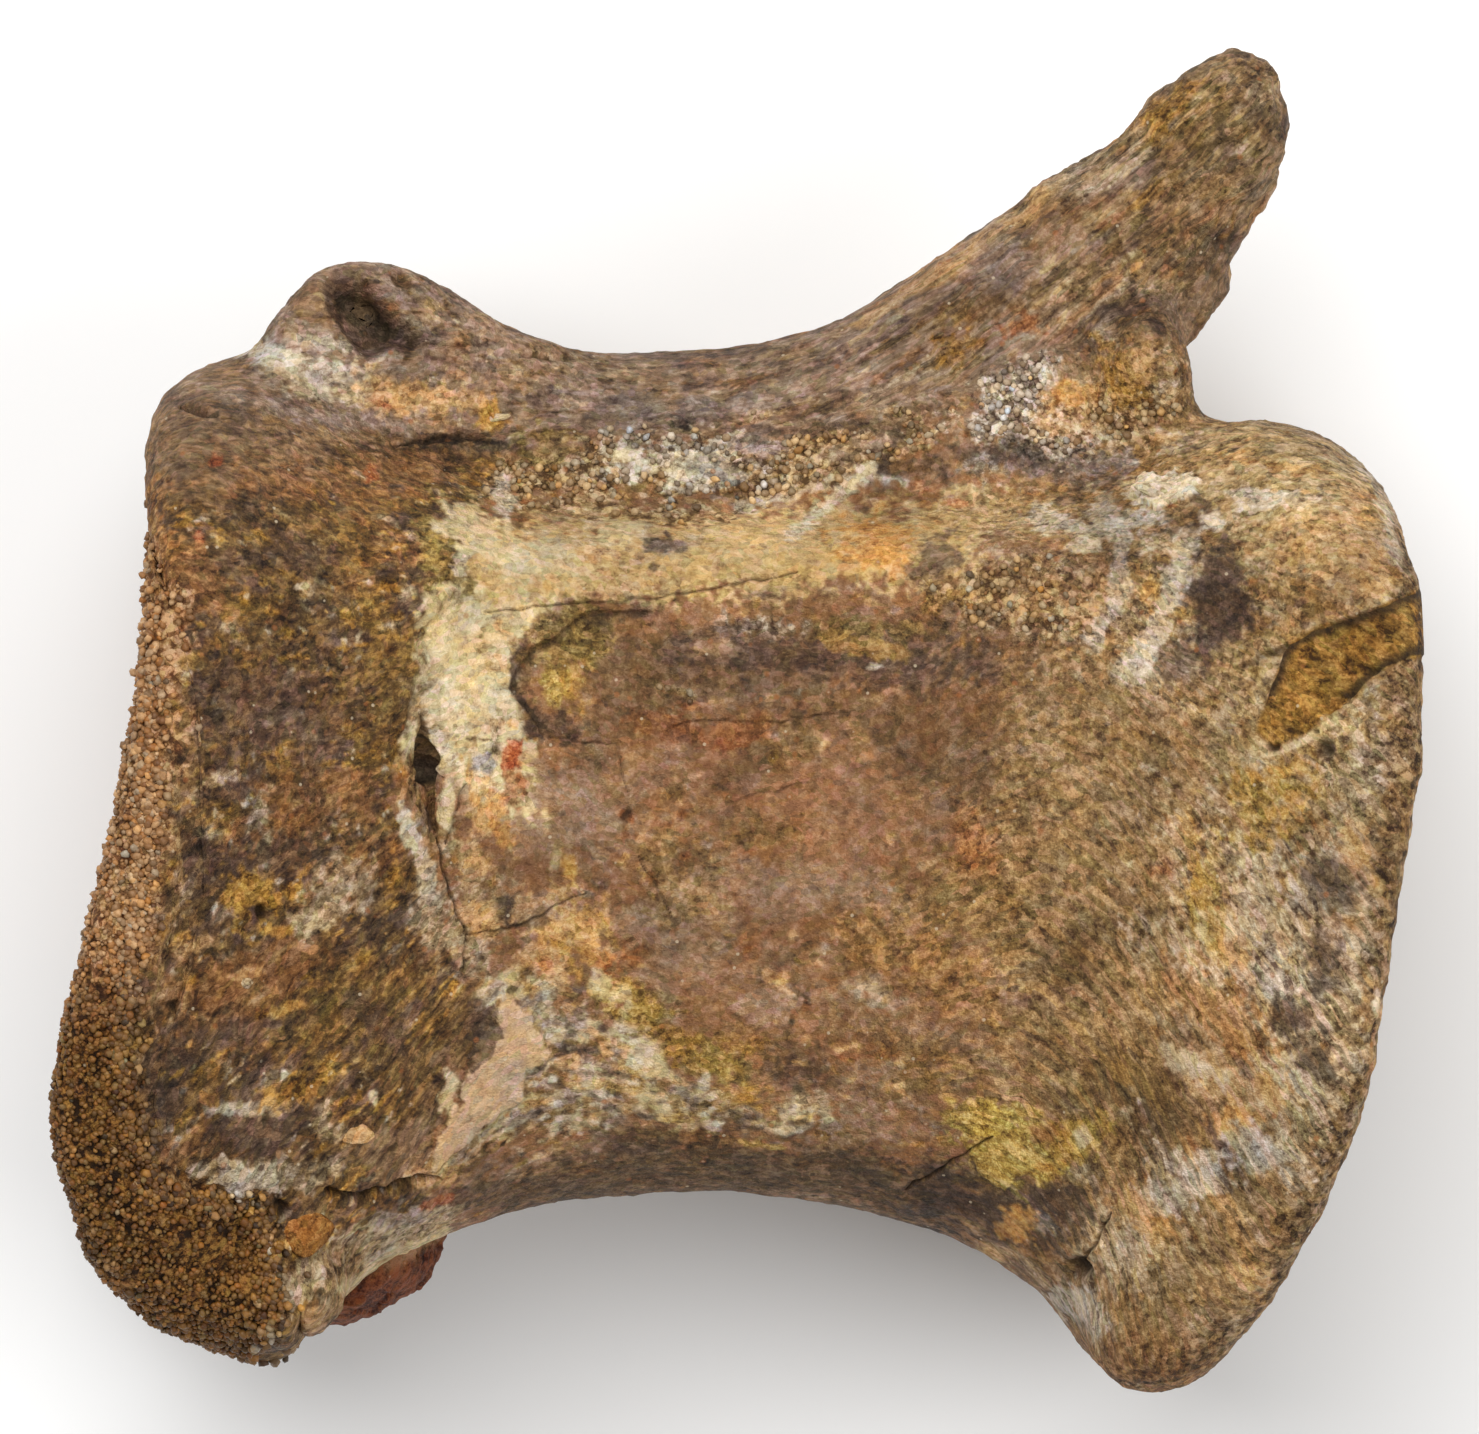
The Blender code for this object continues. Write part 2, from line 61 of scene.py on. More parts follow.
# Finishes: dark, middle and light colour as a screen shows them, then streaks, sand and polish from 0 to 1
finishes = {
    "umber": ((50, 36, 26), (100, 74, 48), (154, 122, 80), 0.8, 0.0, 0.2),
    "goldUmber": ((62, 44, 24), (118, 88, 48), (184, 148, 84), 0.75, 0.0, 0.3),
    "mauveBrown": ((86, 66, 52), (136, 107, 82), (180, 150, 120), 1.0, 0.0, 0.3),
    "rustBrown": ((84, 54, 32), (142, 98, 62), (194, 148, 104), 0.8, 0.2, 0.2),
    "purpleBrown": ((54, 40, 36), (92, 70, 60), (140, 114, 98), 0.9, 0.0, 0.3),
    "greyFleck": ((92, 74, 56), (164, 142, 116), (220, 204, 180), 0.55, 0.1, 0.2),
    "ochre": ((84, 54, 18), (152, 110, 46), (206, 162, 84), 0.5, 0.1, 0.1),
    "olive": ((66, 50, 24), (122, 100, 54), (180, 156, 96), 0.7, 0.1, 0.1),
    "oliveBrown": ((82, 60, 34), (134, 104, 64), (178, 148, 104), 0.3, 0.1, 0.4),
    "cream": ((176, 150, 112), (222, 203, 168), (244, 231, 204), 0.35, 0.0, 0.65),
    "whiteStreak": ((126, 110, 98), (202, 188, 172), (238, 230, 222), 0.6, 0.0, 0.3),
    "peach": ((146, 106, 70), (204, 162, 116), (232, 202, 162), 0.4, 0.1, 0.3),
    "shelf": ((150, 114, 72), (206, 175, 128), (232, 212, 170), 0.6, 0.0, 0.55),
    "orange": ((166, 108, 52), (210, 156, 92), (232, 194, 134), 0.3, 0.0, 0.4),
    "gold": ((136, 94, 42), (198, 150, 76), (228, 194, 124), 0.35, 0.0, 0.4),
    "red": ((116, 46, 24), (178, 88, 50), (216, 152, 104), 0.3, 0.0, 0.3),
    "rust": ((96, 48, 20), (150, 82, 38), (200, 132, 70), 0.2, 0.0, 0.3),
    "redBrown": ((102, 68, 44), (141, 101, 70), (180, 144, 114), 0.2, 0.1, 0.7),
    "fossaDark": ((70, 52, 38), (116, 87, 62), (158, 130, 104), 0.3, 0.2, 0.6),
    "pinkGrey": ((112, 84, 66), (160, 128, 104), (200, 176, 158), 0.2, 0.1, 0.7),
    "pinkBrown": ((112, 74, 50), (157, 113, 82), (196, 158, 130), 0.2, 0.1, 0.7),
    "tanSand": ((100, 74, 48), (150, 119, 82), (194, 166, 128), 0.3, 0.3, 0.4),
    "amberSand": ((92, 70, 46), (156, 126, 90), (212, 188, 152), 0.1, 1.0, 0.3),
    "archMauve": ((90, 68, 56), (146, 120, 102), (190, 168, 152), 0.9, 0.0, 0.4),
    "lilac": ((92, 74, 68), (144, 124, 118), (198, 184, 180), 0.6, 0.1, 0.4),
    "orangeBrown": ((90, 54, 24), (150, 104, 58), (204, 156, 100), 0.6, 0.1, 0.2),
    "black": ((16, 12, 10), (38, 29, 22), (70, 56, 44), 0.1, 0.0, 0.2),
    "greySand": ((88, 72, 62), (162, 146, 132), (228, 220, 214), 0.1, 1.0, 0.3),
    "creamTan": ((118, 92, 60), (186, 158, 116), (226, 206, 168), 0.6, 0.0, 0.3),
    "smoothCream": ((166, 130, 104), (214, 182, 154), (236, 212, 190), 0.15, 0.0, 0.75),
    "paleFibre": ((98, 76, 58), (186, 162, 134), (232, 218, 196), 0.8, 0.0, 0.2),
    "rightBrown": ((84, 60, 38), (144, 113, 76), (196, 166, 124), 0.45, 0.2, 0.3),
    "pittedRim": ((58, 40, 28), (120, 93, 64), (172, 146, 112), 0.4, 0.5, 0.1),
    "spineTan": ((80, 60, 44), (142, 114, 84), (192, 164, 130), 0.6, 0.1, 0.3),
    "yellowGreen": ((112, 84, 36), (176, 142, 72), (214, 188, 124), 0.4, 0.1, 0.2),
    "sulphur": ((112, 84, 38), (178, 148, 76), (222, 204, 134), 0.2, 0.1, 0.3),
    "chipOchre": ((76, 50, 18), (144, 105, 48), (196, 156, 88), 0.8, 0.1, 0.1),
    "darkPurple": ((44, 33, 28), (82, 62, 50), (126, 102, 84), 0.4, 0.0, 0.5),
    # the belly band: its own dark colour, and painted shade where the belly turns away from the light
    "bellyDark": ((54, 40, 31), (98, 76, 56), (144, 120, 92), 0.6, 0.1, 0.4),
    "white": ((190, 170, 144), (224, 212, 194), (244, 236, 224), 0.2, 0.0, 0.3),
    "greyBlue": ((104, 98, 96), (148, 142, 138), (196, 190, 186), 0.2, 0.3, 0.4),
    "darkGrey": ((42, 35, 30), (72, 60, 48), (110, 96, 80), 0.3, 0.0, 0.4),
    "pinkSand": ((108, 72, 46), (164, 120, 80), (212, 176, 138), 0.1, 1.0, 0.3),
    "crust": ((54, 33, 13), (114, 76, 33), (160, 120, 64), 0.0, 1.0, 0.1),
    "redStone": ((32, 13, 6), (84, 38, 18), (136, 78, 46), 0.1, 0.2, 0.4),
    "orangeStone": ((96, 56, 22), (158, 104, 50), (206, 156, 92), 0.6, 0.2, 0.2),
}


def linear(colour):
    # a screen colour from 0 to 255 as an amount of light, by the curve that screens use
    c = np.asarray(colour, float) / 255.0
    return np.where(c <= 0.04045, c / 12.92, ((c + 0.055) / 1.055) ** 2.4)


# how much of their red, green and blue the dark, middle and light colours keep
toning = np.array([(0.69, 0.59, 0.49), (0.86, 0.82, 0.69), (0.92, 0.88, 0.78)])


def finishRow(name):
    # a finish as one row of numbers: three colours of three parts, then streaks, sand and polish
    dark, middle, light, streaks, sand, polish = finishes[name]
    return np.concatenate([linear(dark) * toning[0], linear(middle) * toning[1], linear(light) * toning[2],
                           [streaks, sand, polish]])


def ramp(value, low, high):
    # 0 below low, 1 above high, and a smooth step between them
    t = np.clip((value - low) / (high - low), 0.0, 1.0)
    return t * t * (3.0 - 2.0 * t)


# Noise

luck = np.random.default_rng(5)
shuffled = luck.permutation(256)
slopes = luck.normal(size=(256, 3))
slopes = (slopes / np.linalg.norm(slopes, axis=1)[:, None]).astype(np.float32).T.copy()
spots = luck.random((4, 256)).astype(np.float32)


def scramble(i, j, k):
    # a repeatable number from 0 to 255 for each whole-number place, looked up three times in a shuffled row
    return shuffled[(shuffled[(shuffled[i & 255] + j) & 255] + k) & 255]


def noise(points, size, seed=0):
    # slopes of random direction on a lattice, blended with a smooth step: runs from about -1 to 1
    p = (points / np.asarray(size, float) + seed * 7.31).T.astype(np.float32)
    base = np.floor(p)
    x, y, z = p - base
    i, j, k = base.astype(np.int32)
    i = i + seed
    u, v, w = (t * t * t * (t * (t * 6.0 - 15.0) + 10.0) for t in (x, y, z))

    def corner(a, b, c):
        pick = scramble(i + a, j + b, k + c)
        return slopes[0][pick] * (x - a) + slopes[1][pick] * (y - b) + slopes[2][pick] * (z - c)

    near, far = (corner(0, 0, c) * (1.0 - u) + corner(1, 0, c) * u for c in (0, 1))
    nearUp, farUp = (corner(0, 1, c) * (1.0 - u) + corner(1, 1, c) * u for c in (0, 1))
    near += (nearUp - near) * v
    far += (farUp - far) * v
    return (near + (far - near) * w) * 1.6


def layers(points, size, count, seed=0):
    # noise on noise, each layer half the size and half the height of the one before
    return sum(noise(points, np.asarray(size, float) / 2 ** i, seed + i) / 2 ** i for i in range(count))


def scattered(points, size, seed=0):
    # distance to the nearest of points strewn one to a cell, in cell sizes, with that point's own number
    p = (points / np.asarray(size, float)).T.astype(np.float32)
    base = np.floor(p)
    i, j, k = base.astype(np.int32)
    x, y, z = p - base
    nearest = np.full(len(x), 9.0, np.float32)
    number = np.zeros(len(x), np.float32)
    for a, b, c in ((a, b, c) for a in (-1, 0, 1) for b in (-1, 0, 1) for c in (-1, 0, 1)):
        pick = scramble(i + a + seed, j + b, k + c)
        away = (spots[0][pick] + a - x) ** 2 + (spots[1][pick] + b - y) ** 2 + (spots[2][pick] + c - z) ** 2
        closer = away < nearest
        nearest[closer] = away[closer]
        number[closer] = spots[3][pick[closer]]
    return np.sqrt(nearest), number


# Lines and ovals in the side view

def lineAway(x, y, points):
    # distance to a line drawn through the points, how far along it the nearest place lies, from 0 to 1,
    # and on which side of the line, seen along it: 1 for the right and -1 for the left
    points = np.array(points, float)
    lengths = np.linalg.norm(np.diff(points, axis=0), axis=1)
    starts = np.concatenate([[0.0], np.cumsum(lengths)]) / lengths.sum()
    away = np.full(len(x), 1e9)
    along, side = np.zeros(len(x)), np.zeros(len(x))
    for i, (a, b) in enumerate(zip(points, points[1:])):
        t = np.clip(((x - a[0]) * (b[0] - a[0]) + (y - a[1]) * (b[1] - a[1])) / lengths[i] ** 2, 0.0, 1.0)
        d = np.hypot(x - a[0] - t * (b[0] - a[0]), y - a[1] - t * (b[1] - a[1]))
        turn = (b[0] - a[0]) * (y - a[1]) - (b[1] - a[1]) * (x - a[0])
        along = np.where(d < away, starts[i] + t * (starts[i + 1] - starts[i]), along)
        side = np.where(d < away - 1e-9, -np.sign(turn), side)
        away = np.minimum(d, away)
    return away, along, side


def ovalAway(x, y, middle, halves, turn=0.0):
    # distance from the middle of a turned oval, where 1 is its edge
    c, s = math.cos(math.radians(turn)), math.sin(math.radians(turn))
    u = (x - middle[0]) * c + (y - middle[1]) * s
    v = (y - middle[1]) * c - (x - middle[0]) * s
    return np.hypot(u / halves[0], v / halves[1])


def insideOf(x, y, outline):
    # distance to a closed outline: positive inside, where a level ray crosses it an odd number of times
    points = np.array(outline + outline[:1], float)
    crossed = np.zeros(len(x), bool)
    for a, b in zip(points, points[1:]):
        between = (a[1] > y) != (b[1] > y)
        crossed ^= between & (x < a[0] + (y - a[1]) * (b[0] - a[0]) / (b[1] - a[1] + 1e-12))
    return np.where(crossed, 1.0, -1.0) * lineAway(x, y, points)[0]


def xOn(line, y):
    # the x of a line that runs from top to bottom, at the height y
    points = np.array(line)[::-1]
    return np.interp(y, points[:, 1], points[:, 0])


# Meshes

def newPiece(name, points, faces, normals=None):
    # a mesh object from whole arrays: points in millimetres, faces as rows of point numbers
    mesh = bpy.data.meshes.new(name)
    mesh.vertices.add(len(points))
    mesh.vertices.foreach_set("co", (points * mm).astype(np.float32).ravel())
    mesh.loops.add(faces.size)
    mesh.loops.foreach_set("vertex_index", faces.astype(np.int32).ravel())
    mesh.polygons.add(len(faces))
    mesh.polygons.foreach_set("loop_start", np.arange(0, faces.size, faces.shape[1], dtype=np.int32))
    mesh.polygons.foreach_set("use_smooth", np.ones(len(faces), bool))
    mesh.update(calc_edges=True)
    if normals is not None:
        mesh.normals_split_custom_set_from_vertices(normals)
    piece = bpy.data.objects.new(name, mesh)
    bpy.context.scene.collection.objects.link(piece)
    return piece


def paintOn(mesh, name, values):
    # a colour for each point, kept as an attribute that the material reads
    layer = mesh.attributes.new(name, "FLOAT_COLOR", "POINT")
    values = np.concatenate([values, np.ones((len(values), 4 - values.shape[1]))], 1)
    layer.data.foreach_set("color", values.astype(np.float32).ravel())


def vectorOn(mesh, name, values):
    layer = mesh.attributes.new(name, "FLOAT_VECTOR", "POINT")
    layer.data.foreach_set("vector", values.astype(np.float32).ravel())


def evenSkin(nodeName, voxel):
    # a CAD solid's skin as even triangles: its points in millimetres and its faces
    bm = bmesh.new()
    bm.from_mesh(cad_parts[nodeName].data)
    bmesh.ops.remove_doubles(bm, verts=bm.verts, dist=0.00001)
    mesh = bpy.data.meshes.new(nodeName + "Skin")
    bm.to_mesh(mesh)
    bm.free()
    helper = bpy.data.objects.new(nodeName + "Helper", mesh)
    bpy.context.scene.collection.objects.link(helper)
    remesh = helper.modifiers.new("even", "REMESH")
    remesh.mode = "VOXEL"
    remesh.voxel_size = voxel * mm
    cut = helper.modifiers.new("cut", "TRIANGULATE")
    cut.quad_method = "SHORTEST_DIAGONAL"
    even = bpy.data.meshes.new_from_object(helper.evaluated_get(bpy.context.evaluated_depsgraph_get()))
    p = np.empty(len(even.vertices) * 3, np.float32)
    even.vertices.foreach_get("co", p)
    faces = np.empty(len(even.loops), np.int32)
    even.loops.foreach_get("vertex_index", faces)
    bpy.data.objects.remove(helper)
    for used in (mesh, even):
        bpy.data.meshes.remove(used)
    return largestPart(p.reshape(-1, 3).astype(float) / mm, faces.reshape(-1, 3).astype(np.int64))


def largestPart(p, faces):
    # the largest part of a skin that hangs together: each point takes the lowest number of a face's points, again and
    # again, until nothing changes, so that a part ends up with one number
    label = np.arange(len(p))
    before = None
    while before is None or (label != before).any():
        before = label
        label = label.copy()
        np.minimum.at(label, faces, before[faces].min(axis=1)[:, None])
        label = label[label]
    number = label[faces[:, 0]]
    used, own = partOf(faces, number == np.bincount(number).argmax(), len(p))
    return p[used], own


def relaxed(p, faces, rounds, hold=0.0):
    # each round moves a point half way to the mean of its neighbours, and less where it is held
    a = faces.ravel()
    b = faces[:, [1, 2, 0]].ravel()
    ends, others = np.concatenate([a, b]), np.concatenate([b, a])
    count = np.bincount(ends, minlength=len(p))[:, None]
    share = (0.5 * (1.0 - np.broadcast_to(hold, len(p))))[:, None]
    for turn in range(rounds):
        mean = np.stack([np.bincount(ends, p[others, k], len(p)) for k in range(3)], 1) / count
        p = p + share * (mean - p)
    return p


def pointNormals(p, faces):
    # each face's normal, as long as its area, added up at its points
    cross = np.cross(p[faces[:, 1]] - p[faces[:, 0]], p[faces[:, 2]] - p[faces[:, 0]])
    total = np.stack([np.bincount(faces.ravel(), np.repeat(cross[:, k], 3), len(p)) for k in range(3)], 1)
    return total / np.maximum(np.linalg.norm(total, axis=1), 1e-12)[:, None]


def finer(p, normals, faces, chosen):
    # each chosen triangle becomes four, and its neighbours are cut in two or three to meet it
    sides = np.stack([faces, faces[:, [1, 2, 0]]], 2).reshape(-1, 2)
    sides.sort(axis=1)
    keys, number = np.unique(sides[:, 0] * len(p) + sides[:, 1], return_inverse=True)
    number = number.reshape(-1, 3)
    cut = np.zeros(len(keys), bool)
    cut[number[chosen]] = True
    ends = np.stack([keys[cut] // len(p), keys[cut] % len(p)], 1)
    middle = np.full(len(keys), -1)
    middle[cut] = len(p) + np.arange(len(ends))
    p = np.concatenate([p, p[ends].mean(axis=1)])
    normals = np.concatenate([normals, normals[ends].mean(axis=1)])
    halfway = middle[number]
    count = (halfway >= 0).sum(axis=1)
    pieces = [faces[count == 0]]
    f, m = faces[count == 3], halfway[count == 3]
    pieces += [np.stack(t, 1) for t in ((f[:, 0], m[:, 0], m[:, 2]), (m[:, 0], f[:, 1], m[:, 1]),
                                        (m[:, 2], m[:, 1], f[:, 2]), (m[:, 0], m[:, 1], m[:, 2]))]
    for turn in range(3):
        order = [(turn + k) % 3 for k in range(3)]
        f, m = faces[:, order], halfway[:, order]
        one = (count == 1) & (m[:, 0] >= 0)
        pieces += [np.stack(t, 1) for t in ((f[one, 0], m[one, 0], f[one, 2]), (m[one, 0], f[one, 1], f[one, 2]))]
        two = (count == 2) & (m[:, 2] < 0)
        pieces += [np.stack(t, 1) for t in ((m[two, 0], f[two, 1], m[two, 1]), (f[two, 0], m[two, 0], m[two, 1]),
                                            (f[two, 0], m[two, 1], f[two, 2]))]
    return p, normals, np.concatenate(pieces)


def partOf(faces, keep, count):
    # the points that some of the faces use, and those faces renumbered for them
    used = np.unique(faces[keep])
    place = np.zeros(count, np.int64)
    place[used] = np.arange(len(used))
    return used, place[faces[keep]]


def finishPoints(piece, finish, crest, dark, fibre):
    # the attributes that the skin material reads
    for k, shade in enumerate(("deepTint", "tint", "highTint")):
        paintOn(piece.data, shade, finish[:, 3 * k:3 * k + 3])
    # crest picks lighter colours on crests and darker ones in furrows, as painted light and shade; then streaks and
    # sand
    paintOn(piece.data, "marks", np.stack([0.5 + 0.42 * crest, finish[:, 9], finish[:, 10]], 1))
    body, arch, archward = fibre
    # its painted shade, then its polish
    paintOn(piece.data, "hollow", np.stack([dark, finish[:, 11]], 1))
    vectorOn(piece.data, "fibre", np.where(archward[:, None] > 0.5, arch, body))


def setPiece(piece, node, material):
    piece.data.materials.append(material)
    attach(piece, "root")
    if node:
        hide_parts(node)
    print("made", piece.name, len(piece.data.polygons), "faces")


# The bone's grain: which way its fibres run

def fibrePlaces(p):
    # coordinates along the fibres, across them, and up, in millimetres: on the body the fibres fan out to both rims
    # and run level between them, and on the arch they run along it and rise with the spine
    x, y, z = p.T
    front = np.arctan2(y - 12.0, 23.0 - x) * 46.0 + 12.0
    rear = np.arctan2(y - 17.0, x + 2.0) * 38.0 + 17.0
    rearward = ramp(x, 12.0, 32.0)
    frontward = 1.0 - ramp(x, -26.0, -8.0)
    across = (y - 0.006 * (x - 2.0) ** 2) * (1.0 - rearward - frontward) + rear * rearward + front * frontward
    body = np.stack([x + 0.5 * y * rearward, across, z], 1)
    rise = 0.78 * 5.0 * np.log1p(np.exp((x - 6.0) / 5.0))
    arch = np.stack([x * (1.0 - 0.3 * ramp(x, 0.0, 20.0)), y - rise, z], 1)
    archward = ramp(y - 0.35 * np.maximum(x, 0.0) + 0.8 * noise(p, 2.5, 7), 16.5, 19.5)
    return body, arch, archward


def alongFibres(fibre, size, seed):
    # noise drawn out along the fibres of the body and of the arch, each where it holds
    body, arch, archward = fibre
    drawn = np.zeros(len(body))
    onBody, onArch = archward < 0.999, archward > 0.001
    drawn[onBody] = noise(body[onBody], size, seed) * (1.0 - archward[onBody])
    drawn[onArch] += noise(arch[onArch], size, seed + 50) * archward[onArch]
    return drawn


# Where the sandstone's crust ends on the left side
crustEdge = ((-43.9, 20.0), (-42.6, 14.0), (-41.2, 8.0), (-40.4, 2.0), (-40.4, -6.0), (-41.0, -12.0), (-42.2, -19.7),
             (-42.2, -24.2), (-41.4, -28.8), (-40.2, -33.1), (-36.0, -33.5), (-32.9, -34.7), (-32.1, -37.8),
             (-31.7, -40.5), (-34.0, -44.4))

# Where the dark rough flare of the front end stops, and where the pale band behind it stops: both from top to bottom
flareEdge = ((-15.0, 21.0), (-15.8, 19.5), (-15.8, 16.9), (-17.4, 15.1), (-19.0, 12.5), (-19.3, 10.2), (-20.0, 7.9),
             (-21.6, 6.2), (-21.3, 4.3), (-22.0, 2.0), (-23.0, 0.1), (-23.5, -2.9), (-23.7, -6.0), (-22.3, -8.5),
             (-21.8, -11.3), (-20.9, -14.8), (-18.6, -18.7), (-19.4, -22.5), (-20.7, -26.7), (-21.4, -32.0),
             (-21.0, -40.0))
bandEnd = ((-9.0, 14.0), (-12.0, 8.0), (-13.3, 7.0), (-14.9, 5.3), (-15.5, 2.0), (-14.2, -0.2), (-13.6, -3.0),
           (-12.6, -6.0), (-12.4, -10.0), (-14.5, -12.5), (-17.0, -14.5))

# Cracks, clefts and ridges of the left side: its line, half width, how far it rises, and how much painted shade
# darkens its bed
skinLines = {
    "rimCleft": (((-38.8, 21.7), (-37.3, 21.5), (-35.9, 21.1), (-34.1, 20.6)), 0.32, -0.6, 0.7),
    "archBaseCleft": (((-23.6, 19.2), (-20.7, 19.5), (-18.2, 19.7), (-15.1, 20.2)), 0.25, -0.45, 0.6),
    "archSlit": (((-15.1, 25.3), (-12.3, 25.2), (-10.0, 24.9)), 0.2, -0.4, 0.7),
    "slitTail": (((-20.7, -8.3), (-20.4, -9.9), (-19.5, -13.0), (-18.6, -15.0)), 0.12, -0.4, 0.85),
    "slitRight": (((-18.6, -15.0), (-16.7, -14.8), (-14.8, -14.4), (-12.0, -12.9), (-10.3, -12.1)), 0.11, -0.3, 0.7),
    "slitDown": (((-18.6, -15.0), (-18.8, -17.4)), 0.12, -0.3, 0.6),
    "shelfCrack": (((-17.1, 7.4), (-13.0, 7.8), (-9.2, 8.0), (-5.1, 8.4), (-1.0, 9.1), (4.3, 10.2)), 0.12, -0.3, 0.7),
    "pitCrack": (((-12.8, -1.3), (-11.0, -1.7), (-8.3, -1.8), (-7.9, -3.4), (-7.4, -5.5)), 0.1, -0.22, 0.65),
    "midCrack": (((-4.6, -0.7), (-3.2, -0.1), (0.8, -0.3), (3.3, -0.3), (5.0, 0.1), (9.6, 0.6)), 0.1, -0.22, 0.55),
    "lowCrack": (((-0.8, -5.8), (0.8, -5.5), (2.9, -5.0), (6.2, -4.3)), 0.1, -0.18, 0.5),
    "slantCrack": (((-6.7, -9.6), (-5.6, -11.5), (-4.4, -13.8)), 0.11, -0.25, 0.7),
    "flapGroove": (((-18.6, -4.6), (-19.1, -5.7), (-19.7, -7.6), (-20.0, -8.8)), 0.16, -0.3, 0.5),
    "yellowCrack": (((17.9, -29.2), (14.7, -31.1), (11.9, -33.0)), 0.16, -0.35, 0.7),
    "rearCrack": (((25.9, -34.4), (25.0, -36.5), (23.8, -38.3)), 0.16, -0.4, 0.75),
    "bellyCleft": (((-28.4, -32.9), (-26.0, -33.4), (-24.0, -32.8), (-22.2, -32.1), (-20.8, -32.1)), 0.42, -1.1, 0.9),
    "brokenFlake": (((-21.6, -2.6), (-20.9, -3.4), (-20.1, -4.0)), 0.16, 0.45, 0.0),
    "stumpRidge": (((-26.2, 31.0), (-24.4, 29.9), (-23.0, 28.4), (-21.6, 26.6), (-18.6, 25.8)), 0.6, 0.45, 0.0),
}

# Steps where a flake of the skin has come off: the ground right of the line, seen along it, lies lower
# its line, how far down, over how wide a fall it comes back, and how dark and wide the painted shadow along the foot
# of the step is
skinSteps = {
    "pitRim": (((-12.8, -1.3), (-13.5, -1.1), (-14.4, 0.6), (-15.3, 1.6), (-15.4, 2.5), (-14.9, 3.8), (-14.2, 4.8),
                (-12.8, 5.5), (-11.3, 6.7), (-9.9, 7.4), (-8.1, 7.5), (-5.5, 7.4)), 0.34, 4.0, 0.55, 0.3),
    "chipLip": (((34.4, 3.4), (36.5, 4.5), (38.2, 5.2), (39.9, 6.2), (42.4, 7.0), (44.8, 7.8), (47.1, 8.8)), 0.5, 2.5,
                0.6, 0.25),
}

# Small holes of the left side: place, radius, depth
skinHoles = {
    "flareHole": ((-32.7, -13.4), 0.45, 0.8), "redPit": ((-7.5, -6.8), 0.5, 0.3),
    "chipHole": ((37.1, -1.9), 0.4, 0.7), "rimHole": ((40.7, -2.0), 0.6, 0.8), "seatHole": ((23.8, -38.3), 0.75, 1.1),
    "spineHole": ((34.3, 33.5), 0.55, 0.6), "crustHole": ((-31.5, -34.1), 0.5, 0.8),
    "chipNick": ((41.5, 5.7), 0.3, 0.5), "crustNick": ((-38.7, -19.9), 0.4, 0.5),
}

# Broken-out places of the left side: outline, depth, how far in the full depth lies, how much painted shade darkens
# it, the finish inside (the dark grey of the deepest cores is painted shade as well as their colour)
hollows = {
    "slit": (((-21.7, 0.28), (-21.42, 0.0), (-21.07, -1.75), (-20.65, -2.8), (-20.79, -3.99), (-20.93, -4.69),
              (-20.72, -5.95), (-20.65, -7.84), (-20.93, -8.19), (-21.28, -6.09), (-21.56, -4.76), (-22.05, -4.48),
              (-22.19, -3.29), (-21.98, -2.24)), 0.9, 0.4, 0.1, "umber"),
    "slitDeep": (((-21.9, -3.0), (-21.6, -2.9), (-21.1, -3.6), (-20.95, -4.0), (-21.1, -4.5), (-21.6, -4.6),
                  (-21.9, -4.2)), 0.4, 0.2, 0.7, "darkGrey"),
    "slitScale": (((-21.6, -6.2), (-21.2, -6.0), (-20.9, -7.6), (-21.3, -8.0)), 0.3, 0.2, 0.5, "purpleBrown"),
    "stumpHollow": (((-29.0, 30.2), (-28.2, 31.2), (-26.8, 31.2), (-25.6, 30.4), (-24.2, 28.9), (-22.6, 27.2),
                     (-21.6, 25.8), (-22.4, 25.2), (-23.8, 25.6), (-25.2, 24.7), (-26.4, 25.2), (-27.6, 26.9),
                     (-28.8, 28.6)), 1.5, 1.5, 0.12, "purpleBrown"),
    "stumpDeep": (((-28.0, 30.2), (-26.8, 30.3), (-25.2, 28.9), (-23.6, 27.2), (-24.4, 26.6), (-25.8, 27.2),
                   (-27.4, 28.6)), 0.6, 0.8, 0.4, "darkGrey"),
    "stumpDip": (((-24.3, 31.1), (-23.1, 31.4), (-22.3, 30.5), (-22.7, 29.7), (-23.8, 30.0)), 0.5, 0.5, 0.4, "umber"),
    "bandScar": (((-16.7, -0.4), (-16.1, -0.6), (-16.0, -2.6), (-16.4, -3.2), (-16.8, -2.0)), 0.12, 0.2, 0.15,
                 "greyFleck"),
}

